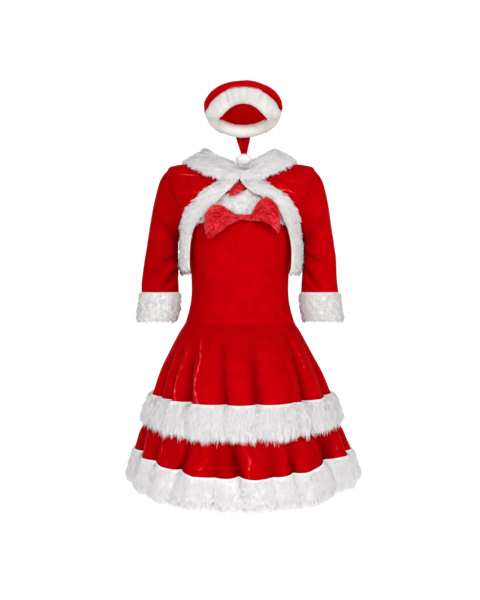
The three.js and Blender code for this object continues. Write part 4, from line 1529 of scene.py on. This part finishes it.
def hat_band():
    """A padded ring, pinched where the plush is gathered. Points = (radius + roll cos b) round the
    ring and roll sin b above it, tilted back; then its inner side sinks, least in the middle of
    the front, so that the opening is a lens with two corners."""
    a = np.radians(going_across(0, 360, 160, True))
    b = np.radians(going_down(0, 360, 41)[:-1])
    pinch = sum(depth * bell(degrees_apart(np.degrees(a), place), width)
                for place, width, depth in each(PINCHES))
    within = bell(degrees_apart(np.degrees(b), 320), 58)
    roll = HAT["roll"] - 0.6 - 1.3 * pinch * within + 0.35 * waves(a * 75, b * 17, 22, 82)
    far = HAT["radius"] + roll * np.cos(b) + 1.5 * np.sin(a) ** 2
    x, y, z = far * np.sin(a), -far * np.cos(a), roll * np.sin(b) + 0 * a
    tilt = math.radians(HAT["tilt"])
    y, z = y * math.cos(tilt) - z * math.sin(tilt), y * math.sin(tilt) + z * math.cos(tilt)
    front, back = (read(OPENING, "x", np.abs(x), name) for name in ("front", "back"))
    inner = ((1 - np.cos(b)) / 2) ** 1.2
    z = z + inner * np.where(np.cos(a) > 0, front, back)
    brow = 11 * ease(np.abs(x), 25, 80) + 9 * ease(np.abs(x), 76, 93)
    z = z - (1 - inner) * brow * ease(np.cos(a), -0.1, 0.4)
    points = xyz(x + HAT["x"], y + HAT["y"], z + HAT["z"])
    faces = quads(40, 160, True, inside_out=True, over=True)
    hairs, under = HAT_PLUSH
    base = new_piece("plush_hat_band", points.reshape(-1, 3), faces, under, "hat_band")
    closed = np.concatenate([points, points[:1]])[::-1]
    pile("plush_hat_band_pile", closed, 4600, 2.4, 83, hairs, **{**TIGHT, "clump": 4, "width": 1.0})


def hat_crown():
    """Oval rings from the band up and over and down behind, gathered where they meet the band.
    Down the tail, which is narrow, the cloth is folded in two along its middle, with painted shade
    along the fold and a painted highlight beside it."""
    angle = np.radians(np.linspace(0, 360, 80, endpoint=False))
    rings = [xyz(x - half * np.sin(angle), oval(out_y, in_y, angle), oval(out_z, in_z, angle))
             for out_y, out_z, in_y, in_z, half, x in each(CROWN)]
    points = smooth_rows(np.array(rings), 8)
    out = normals(points, True)
    step = going_down(0, 1, len(points))
    soft = waves(*along(points), 45, 85) * 1.1 * ease(step, 0.05, 0.3)
    gathers = 0.8 * np.sin(22 * angle + 2 * np.sin(5 * angle))[None, :] * (1 - ease(step, 0, 0.25))
    from_top = (angle - math.pi) % (2 * math.pi) - math.pi
    tail = -3.5 * bell(from_top, 0.35) * ease(step, 0.68, 0.8)
    depth = soft + gathers * ease(step, 0.01, 0.06) + tail * (1 - ease(step, 0.92, 1))
    near = (angle - math.pi)[None, :]
    # Painted shade down the middle of the tail and a painted highlight beside it.
    crease_and_highlight = -0.36 * bell(near, 0.22) + 0.12 * bell(np.abs(near) - 0.75, 0.4)
    velvet("hat_crown", points + out * depth[..., None], (0.5, 0.24), "gathered", 0.069, 1.8,
           around=True, nap=NO_PAINTED_LIGHT + crease_and_highlight * ease(step, 0.72, 0.8))


def hat_pompom():
    """A tight ball of plush: an ellipsoid with soft lumps, under short hairs. A fan of triangles
    closes each pole."""
    downs, arounds = 26, 40
    down = going_down(0.06, math.pi - 0.06, downs)
    around = going_across(0, 2 * math.pi, arounds, True)
    way = xyz(np.sin(down) * np.sin(around), -np.sin(down) * np.cos(around), np.cos(down))
    size = 18 + 0.7 * waves(around * 18, down * 18, 14, 91) * np.sin(down)
    points = way * size[..., None] * (1.1, 1, 0.78) + (10, 88, 24)
    here, total = np.arange(arounds), downs * arounds
    beside, low = (here + 1) % arounds, total - arounds
    top = np.stack([np.full(arounds, total), here, beside], -1)
    bottom = np.stack([np.full(arounds, total + 1), low + beside, low + here], -1)
    ball = np.concatenate([points.reshape(-1, 3), points[[0, -1]].mean(1)])
    hairs, under = POMPOM_PLUSH
    faces = [quads(downs, arounds, True), top, bottom]
    base = new_piece("plush_pompom", ball, faces, under, "hat_pompom")
    pile("plush_pompom_pile", points, 1400, 4.5, 92, hairs, **TIGHT)


TIGHT = {"rise": 1, "fall": 0.1, "sway": 0.2, "gravity": 0, "clump": 5, "pull": 0.3, "width": 0.8,
         "around": True, "slot": "plush"}
hat_band()
hat_crown()
hat_pompom()

# %% [markdown]
# The studio is a pale sheet that lies on the floor and curves up behind, so there is no corner to
# see. It glows a little, as a lit sheet of paper does. The key light is high and near the camera,
# so colours are even. A weaker one on the left and one far to the right show the folds from both
# sides, and a small low one lights the undersides of the furs.

# %% Floor and light
FLOOR_Z = -860
SHEET_REACH = 4500
BEND_START, BEND = 1500, 900


def studio():
    """The sheet's profile: flat, then a quarter circle up, then a flat wall. It glows behind and
    under the set, and less in front, so that the set is not lit from below."""
    bend = np.linspace(0, math.pi / 2, 40)[1:-1]
    y = np.concatenate([np.linspace(-SHEET_REACH, BEND_START, 60),
                        BEND_START + BEND * np.sin(bend), np.full(10, BEND_START + BEND)])
    z = np.concatenate([np.zeros(60), BEND - BEND * np.cos(bend),
                        np.linspace(BEND, SHEET_REACH, 10)]) + FLOOR_Z
    points = xyz(going_across(-SHEET_REACH, SHEET_REACH, 3), y[:, None], z[:, None])
    material, tree, shader = new_material(
        "pale_floor", (0.2, 0.2, 0.2), 0.9, Emission_Color=(1, 1, 1, 1), Emission_Strength=0.9
    )
    vary_color(tree, shader, noise(tree, 3), (0.19, 0.19, 0.19), (0.21, 0.21, 0.21))
    glow = run_between(tree, coordinate(tree, "Object", "Y"), -1.1, -0.5, 0.4, 0.95)
    tree.links.new(glow, shader.inputs["Emission Strength"])
    mesh = bpy.data.meshes.new("floor")
    mesh.from_pydata((points.reshape(-1, 3) * MM).tolist(), [], quads(len(y), 3, False).tolist())
    mesh.polygons.foreach_set("use_smooth", np.ones(len(mesh.polygons), bool))
    mesh.materials.append(material)
    floor = bpy.data.objects.new("floor", mesh)
    bpy.context.scene.collection.objects.link(floor)


def soft_light(name, place, aim, size, power):
    """A rectangular light at a place, turned to shine at a point."""
    data = bpy.data.lights.new(name, "AREA")
    data.shape = "RECTANGLE"
    data.size, data.size_y = size
    data.energy = power
    light = bpy.data.objects.new(name, data)
    light.location = place
    light.rotation_euler = (Vector(aim) - Vector(place)).to_track_quat("-Z", "Y").to_euler()
    bpy.context.scene.collection.objects.link(light)


studio()
world = bpy.data.worlds.new("studio")
world.use_nodes = True
background = world.node_tree.nodes["Background"]
background.inputs["Color"].default_value = (1, 1, 1, 1)
background.inputs["Strength"].default_value = 0.62
bpy.context.scene.world = world
soft_light("key", (0.5, -2.7, 0.45), (0, 0, -0.35), (0.8, 0.8), 30)
soft_light("low", (-0.4, -2.3, -0.8), (0, 0, 0.05), (0.6, 0.4), 8)
soft_light("fill", (-1.3, -2.2, 0.0), (0, 0, -0.35), (0.8, 0.8), 17)
soft_light("side", (1.9, -1.9, -0.2), (0, 0, -0.4), (0.8, 0.8), 15)
bpy.context.scene.view_settings.view_transform = "Standard"
print("lights", [light.name for light in bpy.data.lights])
